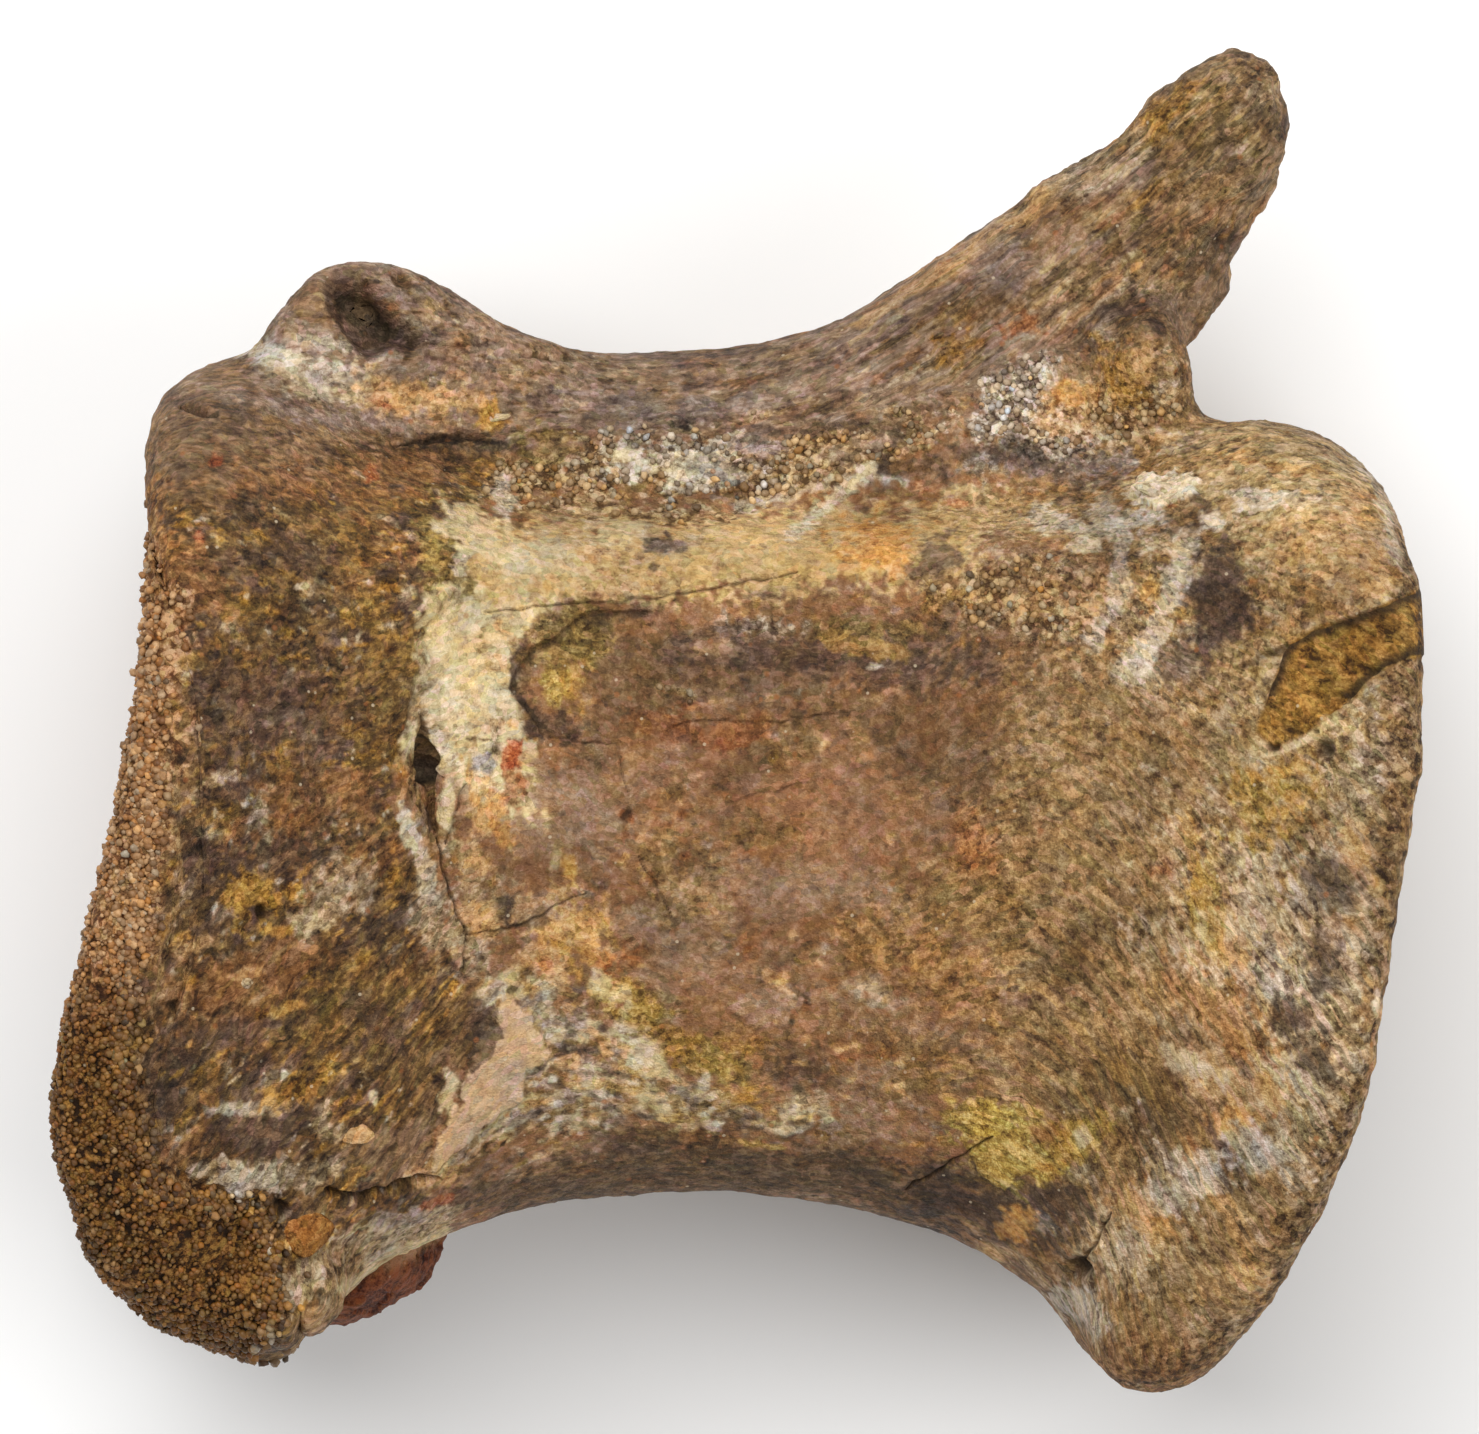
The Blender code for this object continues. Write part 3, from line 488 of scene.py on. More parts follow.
# Patches of the left side with sharp edges: outline, finish, how strong, and how far they stand up
flakes = (
    (((-15.7, -18.8), (-14.5, -20.3), (-13.1, -22.2), (-12.7, -23.3), (-13.9, -24.4), (-14.6, -25.9), (-17.2, -28.1),
      (-19.8, -30.7), (-21.3, -31.5), (-20.9, -29.6), (-18.7, -26.3), (-18.3, -24.0), (-16.5, -22.2), (-16.1, -20.3)),
     "smoothCream", 0.97, 0.16),
    (((27.3, 15.4), (28.4, 16.8), (31.4, 17.0), (32.5, 16.2), (31.6, 15.0), (29.2, 14.6)), "white", 0.95, 0.3),
    (((1.6, -18.6), (4.9, -19.4), (4.0, -21.0), (1.0, -21.4), (-0.4, -20.0)), "pinkGrey", 0.7, 0.05),
    (((-35.5, -30.3), (-31.9, -31.0), (-31.3, -33.0), (-34.0, -33.0), (-36.6, -32.2)), "whiteStreak", 0.8, 0.15),
    (((15.2, -27.6), (17.1, -26.8), (19.0, -27.6), (19.4, -29.7), (21.0, -31.5), (18.8, -32.6), (16.8, -31.6),
      (16.3, -29.2)), "sulphur", 0.75, 0.12),
    (((-16.6, -19.9), (-15.9, -22.0), (-18.0, -25.0), (-18.9, -24.0), (-18.0, -21.0)), "darkPurple", 0.75, -0.1),
)

# The chip broken out of the rear rim: its outline from the inner corner on, its floor's height above the middle plane
# at that corner, and how the floor rises to the rim and downwards
chip = {
    "outline": ((38.2, 5.2), (39.9, 6.2), (42.4, 7.0), (44.8, 7.8), (47.1, 8.8), (52.0, 10.0), (52.0, 4.2),
                (46.4, 4.2), (44.4, 3.2), (41.4, 0.5), (38.9, -1.2), (37.1, -2.0), (36.0, -0.9), (36.5, 0.9),
                (37.3, 3.0)),
    "floor": 24.3, "slopeX": 0.306, "slopeY": -0.222,
}

crustShape = {
    "voxel": 0.42, "rounds": 9,
    "closing": 0.38,  # how far its inner face grows, to meet the bone
    "lumps": 0.28, "sand": 0.2,  # heights of its relief
    "sink": 0.42,  # how far its skin lies back, to leave room for the grains
}

boneShape = {
    "voxel": 0.42,  # size of the even triangles, before the visible side is made finer
    "rounds": 22,  # of smoothing, which takes the CAD facets out
    "lumps": 0.24, "fibres": 0.15, "grit": 0.14, "sand": 0.12,  # heights of the relief
    "pits": 0.45,  # depth of the pores
}

# Patches of the left side, group by group, each laid over the ones before: the group's finish, then its patches.
# An oval is its middle's x and y, half length, half width and turn; a stripe is a line of points and its half
# width. Both end with how strong and how ragged they are.
bonePatches = (
    ("rightBrown", (24.2, -12.7, 11.2, 18.9, 0, 1, 0.5)),
    ("tanSand", (24.2, -5.0, 7.0, 10.5, 0, 0.8, 0.8)),
    ("creamTan", (38.5, 14.9, 8.4, 5.6, -12, 1, 0.5)),
    ("amberSand", (22.8, 8.3, 8.4, 3.4, -4, 0.8, 0.9)),
    ("greyFleck", (29.1, 5.5, 2.7, 5.6, 0, 0.7, 0.9)),
    ("creamTan", (38.9, -2.9, 7.0, 8.4, 0, 0.8, 0.8)),
    ("peach", (42.0, 10.7, 4.9, 2.8, -20, 0.6, 1)),
    ("darkPurple", (33.7, 7.4, 2.9, 5.0, 12, 0.9, 0.8)),
    ("paleFibre", (36.4, -18.7, 6.7, 13.3, 12, 1, 0.7)),
    ("rightBrown", (32.2, -25.0, 4.9, 3.9, 30, 0.7, 0.9)),
    ("goldUmber", (27.0, -25.0, 4.2, 2.8, 0, 0.7, 0.9)),
    ("greyFleck", (42.9, -5.0, 2.7, 6.7, 0, 0.8, 0.9)),
    ("yellowGreen", (37.1, -5.7, 3.6, 2.7, 20, 0.9, 0.8), (32.8, -13.1, 1.4, 5.0, 5, 0.8, 0.8)),
    ("rightBrown", (31.9, -38.6, 10.5, 8.4, -35, 0.8, 0.6)),
    ("pittedRim", (((46.2, 8.3), (46.7, -0.1), (46.3, -8.5), (45.0, -16.9), (43.9, -22.5), (42.7, -28.8),
                    (39.6, -35.8), (35.4, -42.1), (31.2, -45.8), (27.7, -46.2)), 2.1, 0.9, 0.7)),
    ("greyFleck", (((42.7, -15.5), (41.1, -23.9), (38.5, -30.9)), 1.8, 0.6, 1)),
    ("paleFibre", (26.6, -36.2, 4.2, 3.2, -50, 0.8, 0.9), (31.5, -40.0, 4.2, 2.8, -45, 0.6, 0.9)),
    ("orange", (28.5, -34.7, 2.9, 2.4, -20, 0.6, 0.9)),
    ("peach", (35.4, -38.1, 2.4, 1.7, -30, 0.8, 0.7), (43.1, -9.8, 0.8, 1.4, -20, 0.9, 0.6)),
    ("whiteStreak", (((23.5, -39.7), (25.6, -42.8)), 1.0, 0.7, 0.8)),
    ("rustBrown", (28.4, -44.8, 5.6, 2.0, -8, 0.6, 0.8)),
    ("white", (44.1, -19.7, 0.49, 0.8, 0, 0.9, 0.5)),
    ("gold", (37.9, -16.9, 1.1, 0.7, 0, 0.6, 0.6)),
    ("purpleBrown", (41.3, -11.3, 2.4, 1.8, -35, 0.6, 0.9), (38.9, -20.4, 2.8, 1.1, -35, 0.6, 0.9)),
    ("fossaDark", (3.9, 4.8, 15.1, 2.8, 0, 1, 0.6)),
    ("pinkBrown", (-2.5, 7.0, 6.7, 1.5, 6, 0.8, 0.8)),
    ("greySand", (1.8, 6.2, 3.4, 1.5, 0, 0.7, 0.9)),
    ("darkPurple", (((-3.2, 4.4), (4.6, 3.8), (10.2, 4.8)), 0.8, 0.8, 0.9)),
    ("fossaDark", (-7.7, 2.0, 4.3, 3.4, 0, 0.8, 0.7), (12.3, 4.8, 4.6, 3.5, 0, 0.5, 1)),
    ("pinkGrey", (-10.0, -6.8, 4.1, 4.3, 0, 0.9, 0.9)),
    ("pinkBrown", (7.7, -7.8, 6.7, 5.0, 15, 0.8, 0.9), (-5.6, -2.9, 4.2, 1.8, 0, 0.5, 1)),
    ("redBrown", (11.6, -0.1, 7.7, 2.5, 0, 0.7, 0.9)),
    ("pinkGrey", (11.9, -21.8, 4.6, 2.1, -15, 0.7, 0.9)),
    ("fossaDark", (-2.5, -17.3, 3.1, 4.2, 0, 0.6, 0.9), (-7.7, 4.4, 3.6, 2.4, 0, 0.9, 0.9)),
    ("pinkBrown", (1.8, -13.1, 4.9, 2.4, 0, 0.6, 1)),
    ("tanSand", (11.6, -16.2, 6.3, 3.1, 0, 0.6, 0.9)),
    ("olive", (-0.9, -23.4, 3.6, 2.0, 0, 0.8, 0.9)),
    ("rust", (-7.6, -6.8, 0.63, 0.56, 0, 0.8, 0.5)),
    ("greyFleck", (-18.4, -14.5, 2.9, 4.9, 0, 0.8, 0.9)),
    ("umber", (-18.7, -20.4, 1.7, 4.5, 0, 0.9, 0.9)),
    ("gold", (-10.3, -15.5, 2.8, 2.2, 15, 0.8, 0.9)),
    ("orange", (-12.1, -15.2, 1.7, 2.7, 0, 0.7, 0.9)),
    ("peach", (-13.7, -16.9, 2.4, 1.3, -20, 0.8, 0.9)),
    ("red", (-9.0, -17.1, 1.1, 0.8, 0, 0.8, 0.6)),
    ("yellowGreen", (-7.9, -19.2, 1.7, 1.1, 0, 0.9, 0.6)),
    ("olive", (-6.0, -20.6, 3.1, 2.1, 0, 0.8, 0.9)),
    ("creamTan", (-17.3, -13.3, 1.8, 1.1, -20, 0.9, 0.6)),
    ("darkPurple", (-15.9, -12.9, 1.1, 0.8, 20, 0.95, 0.5)),
    ("pinkGrey", (-12.3, -20.4, 2.4, 1.0, -30, 0.8, 0.8)),
    ("cream", (-14.5, -22.2, 1.7, 3.4, -22, 1, 0.45)),
    ("peach", (((-15.1, -25.7), (-17.6, -28.3), (-20.3, -31.3)), 1.5, 0.95, 0.6)),
    ("greyFleck", (-10.2, -25.7, 4.2, 3.5, 0, 0.9, 0.8)),
    ("greyBlue", (-8.6, -24.5, 2.2, 1.3, 15, 0.9, 0.8)),
    ("darkGrey", (-12.7, -22.2, 0.56, 0.7, 0, 1, 0.3), (((-13.3, -23.7), (-13.9, -24.6)), 0.35, 0.9, 0.4),
     (((-14.4, -25.7), (-15.3, -27.3)), 0.49, 0.9, 0.5), (((-16.5, -19.7), (-15.3, -21.0)), 0.42, 0.8, 0.5),
     (-17.6, -27.7, 0.56, 0.56, 0, 0.9, 0.5), (((-11.2, -21.8), (-10.2, -23.1)), 0.42, 0.8, 0.5),
     (-9.3, -28.2, 0.7, 0.35, 0, 0.9, 0.5)),
    ("white", (-10.6, -25.9, 0.63, 0.63, 0, 0.95, 0.4)),
    ("cream", (-9.0, -27.3, 1.1, 0.8, 0, 0.9, 0.5), (-6.4, -23.5, 1.0, 1.1, 0, 0.9, 0.6)),
    ("greyFleck", (-3.2, -27.3, 4.2, 1.4, 0, 0.8, 0.9)),
    ("yellowGreen", (-0.5, -26.5, 2.4, 1.1, 0, 0.7, 0.9)),
    ("darkPurple", (0.6, -27.9, 2.5, 0.63, -3, 0.95, 0.5)),
    ("greyFleck", (4.6, -27.4, 2.5, 1.3, 0, 0.9, 0.8)),
    ("sulphur", (5.0, -27.6, 1.0, 0.56, 0, 0.8, 0.6)),
    # the dark belly band: own colour and painted shade where the belly turns away from the light
    ("bellyDark", (((-16.5, -33.7), (-9.5, -32.2), (-1.1, -31.5), (8.1, -31.8), (14.0, -33.7)), 2.1, 1, 0.7)),
    ("pinkGrey", (10.2, -28.1, 4.2, 1.5, -10, 0.7, 0.9)),
    ("darkPurple", (((14.0, -32.3), (17.9, -34.8), (22.8, -34.1)), 2.4, 0.95, 0.6)),
    ("orange", (19.4, -35.3, 1.5, 1.2, -20, 0.8, 0.5)),
    ("creamTan", (17.7, -37.4, 1.5, 0.56, -20, 0.8, 0.5)),
    ("greyBlue", (21.4, -35.0, 1.0, 0.8, 0, 0.5, 0.8)),
    ("sulphur", (19.8, -30.0, 5.0, 2.2, 8, 1, 0.9)),
    ("yellowGreen", (16.6, -27.7, 2.5, 1.5, 0, 0.9, 0.8)),
    ("sulphur", (24.2, -28.8, 2.4, 1.0, 25, 0.7, 0.9)),
    ("shelf", (((-16.5, 11.1), (-9.5, 11.3), (-2.5, 11.3), (4.6, 11.9), (11.6, 12.3), (15.1, 11.9)), 3.1, 1, 0.6)),
    ("peach", (-6.7, 9.8, 3.1, 1.0, 0, 0.6, 1)),
    ("orange", (9.9, 12.1, 2.8, 2.2, 0, 0.9, 0.7)),
    ("creamTan", (18.6, 13.9, 6.3, 1.7, 10, 0.8, 0.9)),
    ("whiteStreak", (((0.4, 14.8), (4.6, 16.1), (9.5, 17.1), (11.9, 16.5)), 0.63, 0.8, 0.9)),
    ("darkGrey", (-5.8, 10.6, 0.42, 0.35, 0, 0.9, 0.3)),
    ("greyBlue", (7.8, 15.8, 0.7, 0.28, 10, 0.8, 0.4)),
    ("red", (15.6, 14.8, 1.1, 0.42, -10, 0.6, 0.8)),
    ("amberSand", (((-12.3, 14.9), (-6.7, 14.2), (-1.1, 14.0)), 1.1, 0.7, 0.9),
     (((-15.1, 16.8), (-8.1, 17.4), (-1.1, 17.4), (6.0, 18.4), (11.6, 19.5)), 2.3, 1, 0.6)),
    ("greySand", (-4.2, 17.9, 6.3, 2.4, -2, 1, 0.7)),
    ("archMauve", (8.8, 18.9, 2.8, 1.0, 12, 0.7, 0.9)),
    ("whiteStreak", (-3.2, 17.2, 2.7, 1.3, 0, 0.7, 1)),
    ("greyBlue", (0.0, 17.0, 1.3, 0.63, 0, 0.8, 0.6)),
    ("purpleBrown", (19.6, 18.2, 6.7, 1.3, 4, 0.9, 0.7)),
    ("darkPurple", (11.6, 17.4, 2.9, 0.9, 0, 0.8, 0.9)),
    ("greyBlue", (20.7, 18.6, 1.5, 0.56, 0, 0.6, 0.8), (24.4, 17.4, 1.1, 0.49, -20, 0.6, 0.8)),
    ("greySand", (19.3, 22.6, 4.2, 2.4, 25, 0.9, 0.8)),
    ("amberSand", (24.9, 21.4, 5.3, 2.9, 0, 1, 0.7)),
    ("whiteStreak", (21.7, 23.5, 1.5, 0.8, 0, 0.8, 0.9)),
    ("gold", (-17.2, 21.4, 1.0, 1.4, 0, 0.8, 0.8)),
    ("darkGrey", (((-22.1, 19.1), (-18.6, 18.8), (-14.7, 18.9)), 0.49, 0.7, 0.9)),
    ("umber", (-20.7, 17.4, 4.3, 0.8, 0, 0.7, 0.9), (((1.8, 21.0), (8.8, 22.1), (15.8, 23.7)), 0.49, 0.5, 0.9)),
    ("whiteStreak", (((-16.2, 16.5), (-15.9, 14.9)), 0.7, 0.7, 0.8),
     (((-34.0, 25.6), (-30.5, 24.2), (-26.3, 23.1)), 1.4, 0.8, 1)),
    ("peach", (((-26.3, 22.8), (-22.1, 22.1), (-18.6, 22.0)), 1.3, 0.7, 1)),
    ("whiteStreak", (((-30.5, 22.8), (-26.3, 22.3)), 0.8, 0.7, 1)),
    ("peach", (-23.5, 21.4, 4.6, 1.1, -4, 0.7, 0.9)),
    ("red", (-24.6, 22.1, 0.8, 0.63, 0, 0.7, 0.7)),
    ("mauveBrown", (-30.5, 28.9, 2.8, 3.1, 30, 0.9, 0.6)),
    ("gold", (-33.2, 25.8, 0.56, 0.56, 0, 1, 0.2)),
    ("creamTan", (-21.2, 28.9, 0.8, 0.63, -30, 0.7, 0.7)),
    ("umber", (((-14.4, 26.3), (-10.2, 25.8)), 0.42, 0.7, 0.8)),
    ("ochre", (16.8, 28.9, 3.9, 1.3, 35, 0.5, 0.9)),
    ("rustBrown", (22.8, 34.5, 5.2, 1.4, 38, 0.6, 0.9)),
    ("umber", (24.5, 31.9, 4.6, 0.9, 32, 0.7, 0.9), (31.3, 41.0, 1.8, 1.4, 0, 0.8, 0.9),
     (36.2, 43.8, 1.0, 2.8, -15, 0.6, 0.9)),
    ("ochre", (30.1, 42.7, 2.0, 1.1, 35, 0.7, 0.9), (27.1, 24.2, 2.2, 1.8, -30, 0.8, 0.8)),
    ("orange", (24.0, 22.8, 1.7, 1.2, 0, 0.8, 0.8)),
    # the peach stripe along the spine's upper left edge is a painted highlight where that edge faces the light
    ("peach", (28.4, 24.9, 1.5, 1.8, 0, 0.7, 0.9), (((9.1, 27.7), (15.8, 32.6), (22.8, 37.5)), 0.56, 0.8, 0.6)),
    ("purpleBrown", (30.1, 28.9, 2.8, 2.4, 0, 0.6, 0.9)),
    ("pinkGrey", (32.4, 30.3, 1.3, 3.5, -5, 0.6, 0.9)),
    ("umber", (31.9, 25.4, 1.5, 1.1, 0, 0.6, 0.9)),
    ("creamTan", (25.6, 35.2, 2.8, 0.7, 38, 0.5, 0.9)),
    ("mauveBrown", (-35.7, 19.5, 6.9, 5.3, 0, 1, 0.4), (-28.0, 20.5, 5.9, 2.0, -5, 0.9, 0.6)),
    ("rustBrown", (-30.5, 16.4, 4.9, 1.5, 0, 0.8, 0.9), (-22.8, 17.5, 4.6, 1.3, 0, 0.7, 0.9),
     (-37.8, 9.7, 3.5, 3.9, 0, 0.9, 0.8)),
    ("goldUmber", (-28.4, 12.1, 5.2, 3.5, 0, 0.6, 1)),
    ("olive", (-20.2, 10.4, 2.0, 5.5, 0, 0.9, 0.8)),
    ("goldUmber", (-23.1, 2.0, 4.3, 3.9, 0, 0.9, 0.8)),
    ("purpleBrown", (-31.2, 0.2, 5.9, 3.5, 0, 0.8, 0.9), (-31.2, 11.2, 3.9, 1.5, 0, 0.7, 0.9)),
    ("rustBrown", (-28.4, -5.4, 5.2, 2.4, 0, 0.7, 0.9)),
    ("purpleBrown", (-32.2, -9.6, 4.2, 1.5, 0, 0.6, 0.9)),
    ("ochre", (-33.5, -12.0, 2.2, 1.6, 0, 0.95, 0.8), (29.8, 42.0, 2.1, 1.3, 40, 0.7, 0.9)),
    ("greyFleck", (-27.3, -11.7, 3.2, 1.7, 0, 0.6, 1), (-21.5, -13.1, 1.4, 3.5, 0, 0.6, 1)),
    ("peach", (-38.2, -15.9, 2.2, 0.8, 20, 0.8, 0.8)),
    ("gold", (-32.2, -14.6, 1.5, 0.28, 5, 0.8, 0.5)),
    ("rustBrown", (-35.0, -18.7, 5.9, 2.7, 15, 0.7, 0.9)),
    ("goldUmber", (-27.0, -20.4, 6.4, 3.5, 15, 0.8, 0.9)),
    ("olive", (-28.0, -19.7, 3.5, 1.1, 15, 0.6, 1), (32.6, 42.0, 1.7, 2.1, -20, 0.6, 1)),
    ("purpleBrown", (-33.1, -27.8, 2.8, 3.9, 0, 0.9, 0.8)),
    ("greyFleck", (-31.0, -31.4, 3.5, 1.2, 8, 0.8, 0.9)),
    ("mauveBrown", (-22.6, -30.2, 3.2, 2.4, 0, 0.9, 0.7)),
    ("umber", (-21.2, -25.0, 2.1, 4.1, 0, 0.7, 0.9)),
    ("pinkSand", (((-39.9, 7.6), (-40.8, -0.1), (-41.5, -5.7), (-42.9, -12.7), (-43.9, -16.9)), 2.8, 1, 0.7)),
    ("crust", (-39.6, -37.2, 7.0, 7.0, 0, 1, 0.7)),
    ("purpleBrown", (-20.7, -34.0, 4.2, 1.0, 5, 0.8, 0.8)),
    ("paleFibre", (((-31.5, -40.0), (-27.0, -37.4), (-20.7, -35.3)), 1.7, 0.9, 0.8)),
    ("red", (-35.9, 17.9, 0.63, 0.49, 0, 0.7, 0.6), (-25.2, 16.9, 0.63, 0.49, 0, 0.6, 0.7),
     (-37.0, 12.5, 0.63, 0.42, 0, 0.6, 0.7)),
    ("white", (-30.0, 9.1, 0.56, 0.28, 0, 0.9, 0.5), (((-33.1, 25.6), (-30.5, 24.6), (-27.7, 24.2)), 0.7, 0.85, 1)),
    ("greyFleck", (-33.1, -6.8, 0.8, 1.4, 0, 0.9, 0.9)),
    ("white", (-33.9, -6.0, 0.42, 0.35, 0, 0.8, 0.5)),
    ("whiteStreak", (((-18.3, 12.0), (-19.1, 10.6)), 0.7, 0.8, 0.8)),
    ("cream", (-15.1, 11.2, 2.7, 1.0, 0, 0.9, 0.7)),
    ("peach", (-10.3, 11.6, 2.1, 0.8, 0, 0.8, 0.8)),
    ("darkPurple", (-4.8, 12.1, 1.0, 0.63, 10, 0.8, 0.7), (((36.9, 42.6), (37.8, 39.8)), 0.8, 0.6, 1)),
    ("creamTan", (-18.6, 4.8, 3.1, 1.7, 0, 0.6, 1)),
    ("olive", (-20.1, 3.6, 0.7, 0.28, 0, 0.8, 0.5), (-20.6, 8.3, 0.35, 1.4, 10, 0.5, 0.8)),
    ("whiteStreak", (-20.1, 0.8, 1.5, 1.4, 0, 0.8, 0.9)),
    ("greyFleck", (-18.8, 1.4, 0.35, 0.49, 20, 0.9, 0.5)),
    ("pinkGrey", (-17.9, -0.3, 1.7, 1.1, 0, 0.4, 1), (((18.6, 31.9), (24.2, 32.8)), 1.7, 0.8, 0.9)),
    ("umber", (((-18.6, -1.4), (-17.6, -1.5), (-16.7, -1.5)), 0.11, 0.9, 0.9)),
    ("orange", (-15.3, -0.3, 0.63, 0.42, 0, 0.8, 0.8)),
    ("red", (-15.0, -2.4, 0.63, 1.2, -5, 0.9, 0.7)),
    ("gold", (-14.1, -1.4, 0.56, 0.28, 0, 0.8, 0.7)),
    ("cream", (-13.9, -2.1, 0.42, 0.63, 0, 0.8, 0.6)),
    ("greyBlue", (-17.3, -3.2, 1.1, 0.7, 0, 0.75, 0.8)),
    ("gold", (-18.3, -3.6, 0.28, 1.0, 0, 0.8, 0.6)),
    ("redBrown", (((-20.9, -1.7), (-20.1, -1.6)), 0.21, 0.8, 0.8)),
    ("orange", (-19.0, -2.7, 0.56, 0.28, 0, 0.7, 0.8)),
    ("ochre", (-23.2, -2.9, 0.63, 1.5, 0, 0.6, 1)),
    ("white", (-22.6, -7.3, 0.63, 1.8, 14, 0.85, 0.8)),
    ("greyBlue", (-21.9, -6.6, 0.35, 1.0, 8, 0.5, 0.8)),
    ("whiteStreak", (((-21.8, -9.2), (-21.2, -12.0)), 0.63, 0.8, 0.9), (-13.3, 4.4, 0.7, 0.56, 0, 0.7, 0.9)),
    ("umber", (-22.9, -10.8, 0.7, 1.1, 10, 0.7, 0.9)),
    ("cream", (-19.8, -6.2, 0.7, 2.1, 6, 0.9, 0.6)),
    ("greyFleck", (-20.0, -8.7, 0.56, 1.0, 0, 0.7, 0.8)),
    ("peach", (-17.4, -6.8, 1.4, 2.4, 8, 0.85, 0.9)),
    ("orange", (-18.0, -5.7, 0.63, 0.42, 0, 0.6, 0.8), (-16.2, -8.1, 0.42, 0.8, 10, 0.75, 0.8)),
    ("creamTan", (-17.9, -10.1, 1.4, 1.8, 0, 0.7, 1)),
    ("pinkGrey", (-14.4, -7.5, 1.8, 2.2, 0, 0.8, 1)),
    ("cream", (-12.6, -10.1, 0.49, 0.8, -25, 0.6, 0.7)),
    ("gold", (-11.6, -10.4, 0.63, 1.1, -10, 0.8, 0.8), (-12.0, 2.4, 1.0, 1.3, -30, 0.85, 0.8)),
    ("darkPurple", (-12.1, 0.1, 1.0, 0.8, 0, 0.95, 0.6),
     (((-14.4, 5.5), (-15.2, 4.1), (-15.3, 2.1), (-14.3, 0.6)), 0.28, 0.95, 0.5)),
    ("greyFleck", (((-12.8, 6.7), (-13.9, 5.5)), 0.35, 0.6, 0.8)),
    ("gold", (-11.3, 2.5, 1.4, 2.1, -20, 0.6, 1)),
    ("fossaDark", (((-8.8, 2.0), (-2.5, 3.2), (4.6, 2.0), (9.5, 0.4)), 1.4, 0.8, 0.9),
     (-10.4, -3.1, 1.7, 1.3, 0, 0.85, 0.9)),
    ("purpleBrown", (((-3.2, 4.8), (3.9, 4.4), (11.6, 3.4), (17.2, 4.1)), 1.7, 0.8, 0.9)),
    ("amberSand", (((13.7, 8.8), (17.9, 9.7)), 1.3, 0.8, 0.9), (2.2, 21.4, 1.8, 0.8, 5, 0.8, 0.8)),
    ("pinkGrey", (-1.4, 4.9, 2.8, 0.56, -4, 0.7, 0.8), (-11.8, -5.3, 2.8, 2.5, 0, 0.7, 1)),
    ("darkPurple", (11.6, 6.0, 3.5, 2.0, 0, 0.7, 1)),
    ("ochre", (14.0, 8.3, 1.8, 1.0, 30, 0.6, 1)),
    ("fossaDark", (11.4, -2.4, 2.2, 1.7, 0, 0.85, 0.9), (16.2, -3.9, 2.1, 1.4, 0, 0.8, 0.9)),
    ("pinkBrown", (2.7, -5.7, 4.3, 2.1, 0, 0.8, 0.9)),
    ("pinkGrey", (((4.1, -10.9), (8.1, -12.0), (12.5, -14.1)), 1.5, 0.8, 0.9), (8.8, -19.3, 3.5, 1.5, -8, 0.85, 0.9),
     (12.5, -21.6, 2.2, 1.4, -20, 0.7, 0.9)),
    ("rust", (16.2, -9.0, 2.1, 2.5, 0, 0.5, 1), (20.0, 27.7, 1.7, 0.9, 10, 0.7, 0.9)),
    ("pinkBrown", (0.4, -18.8, 2.2, 1.8, 0, 0.8, 0.9)),
    ("rust", (-6.7, -16.0, 1.7, 1.3, 0, 0.6, 1)),
    ("oliveBrown", (11.6, -15.1, 3.9, 2.1, 0, 0.8, 0.9), (1.8, -8.1, 2.8, 1.3, 0, 0.7, 1),
     (15.3, -17.3, 2.5, 2.1, 0, 0.7, 1)),
    ("peach", (-12.7, -16.9, 1.3, 1.0, 0, 0.7, 0.9)),
    ("orange", (-9.5, -16.6, 1.4, 1.0, -20, 0.8, 0.9), (2.7, -17.9, 1.5, 0.63, -10, 0.6, 0.9)),
    ("yellowGreen", (-8.5, -18.8, 1.8, 0.8, 0, 0.8, 0.9)),
    ("gold", (-11.8, -10.5, 0.63, 1.3, 0, 0.7, 0.9)),
    ("fossaDark", (4.2, -23.5, 2.5, 1.4, -10, 0.9, 0.9)),
    ("darkPurple", (2.2, -19.7, 1.3, 0.8, -20, 0.7, 0.9)),
    ("cream", (-6.7, -23.5, 1.4, 1.1, 0, 0.8, 0.9)),
    ("yellowGreen", (-2.0, -23.0, 3.2, 1.8, 0, 0.7, 1)),
    ("gold", (0.4, -25.8, 2.0, 0.8, 0, 0.4, 1)),
    ("whiteStreak", (-2.5, -26.5, 2.4, 0.8, 0, 0.6, 1)),
    ("darkPurple", (1.8, -28.6, 3.9, 0.49, -2, 0.8, 0.8)),
    ("whiteStreak", (5.0, -28.1, 2.0, 0.9, 0, 0.7, 0.9)),
    ("sulphur", (18.1, -28.6, 2.9, 2.0, 0, 0.8, 0.9), (16.8, -28.1, 1.7, 1.3, 0, 1, 0.6)),
    ("white", (4.6, 1.8, 0.35, 0.21, 30, 0.8, 0.6), (9.7, 3.6, 0.63, 0.18, 0, 0.7, 0.8)),
    ("amberSand", (((-5.3, 2.2), (-2.9, 1.5)), 0.35, 0.7, 0.6)),
    ("red", (-0.4, -1.9, 0.8, 0.42, 0, 0.35, 1)),
    ("purpleBrown", (24.2, 17.3, 3.8, 1.7, 0, 0.8, 0.9),
     (((31.7, 15.5), (33.1, 13.7), (30.7, 12.7)), 0.42, 0.8, 0.9)),
    ("darkPurple", (33.5, 7.4, 2.8, 2.7, 0, 0.75, 1)),
    ("purpleBrown", (30.9, 3.9, 2.4, 1.5, 20, 0.7, 1)),
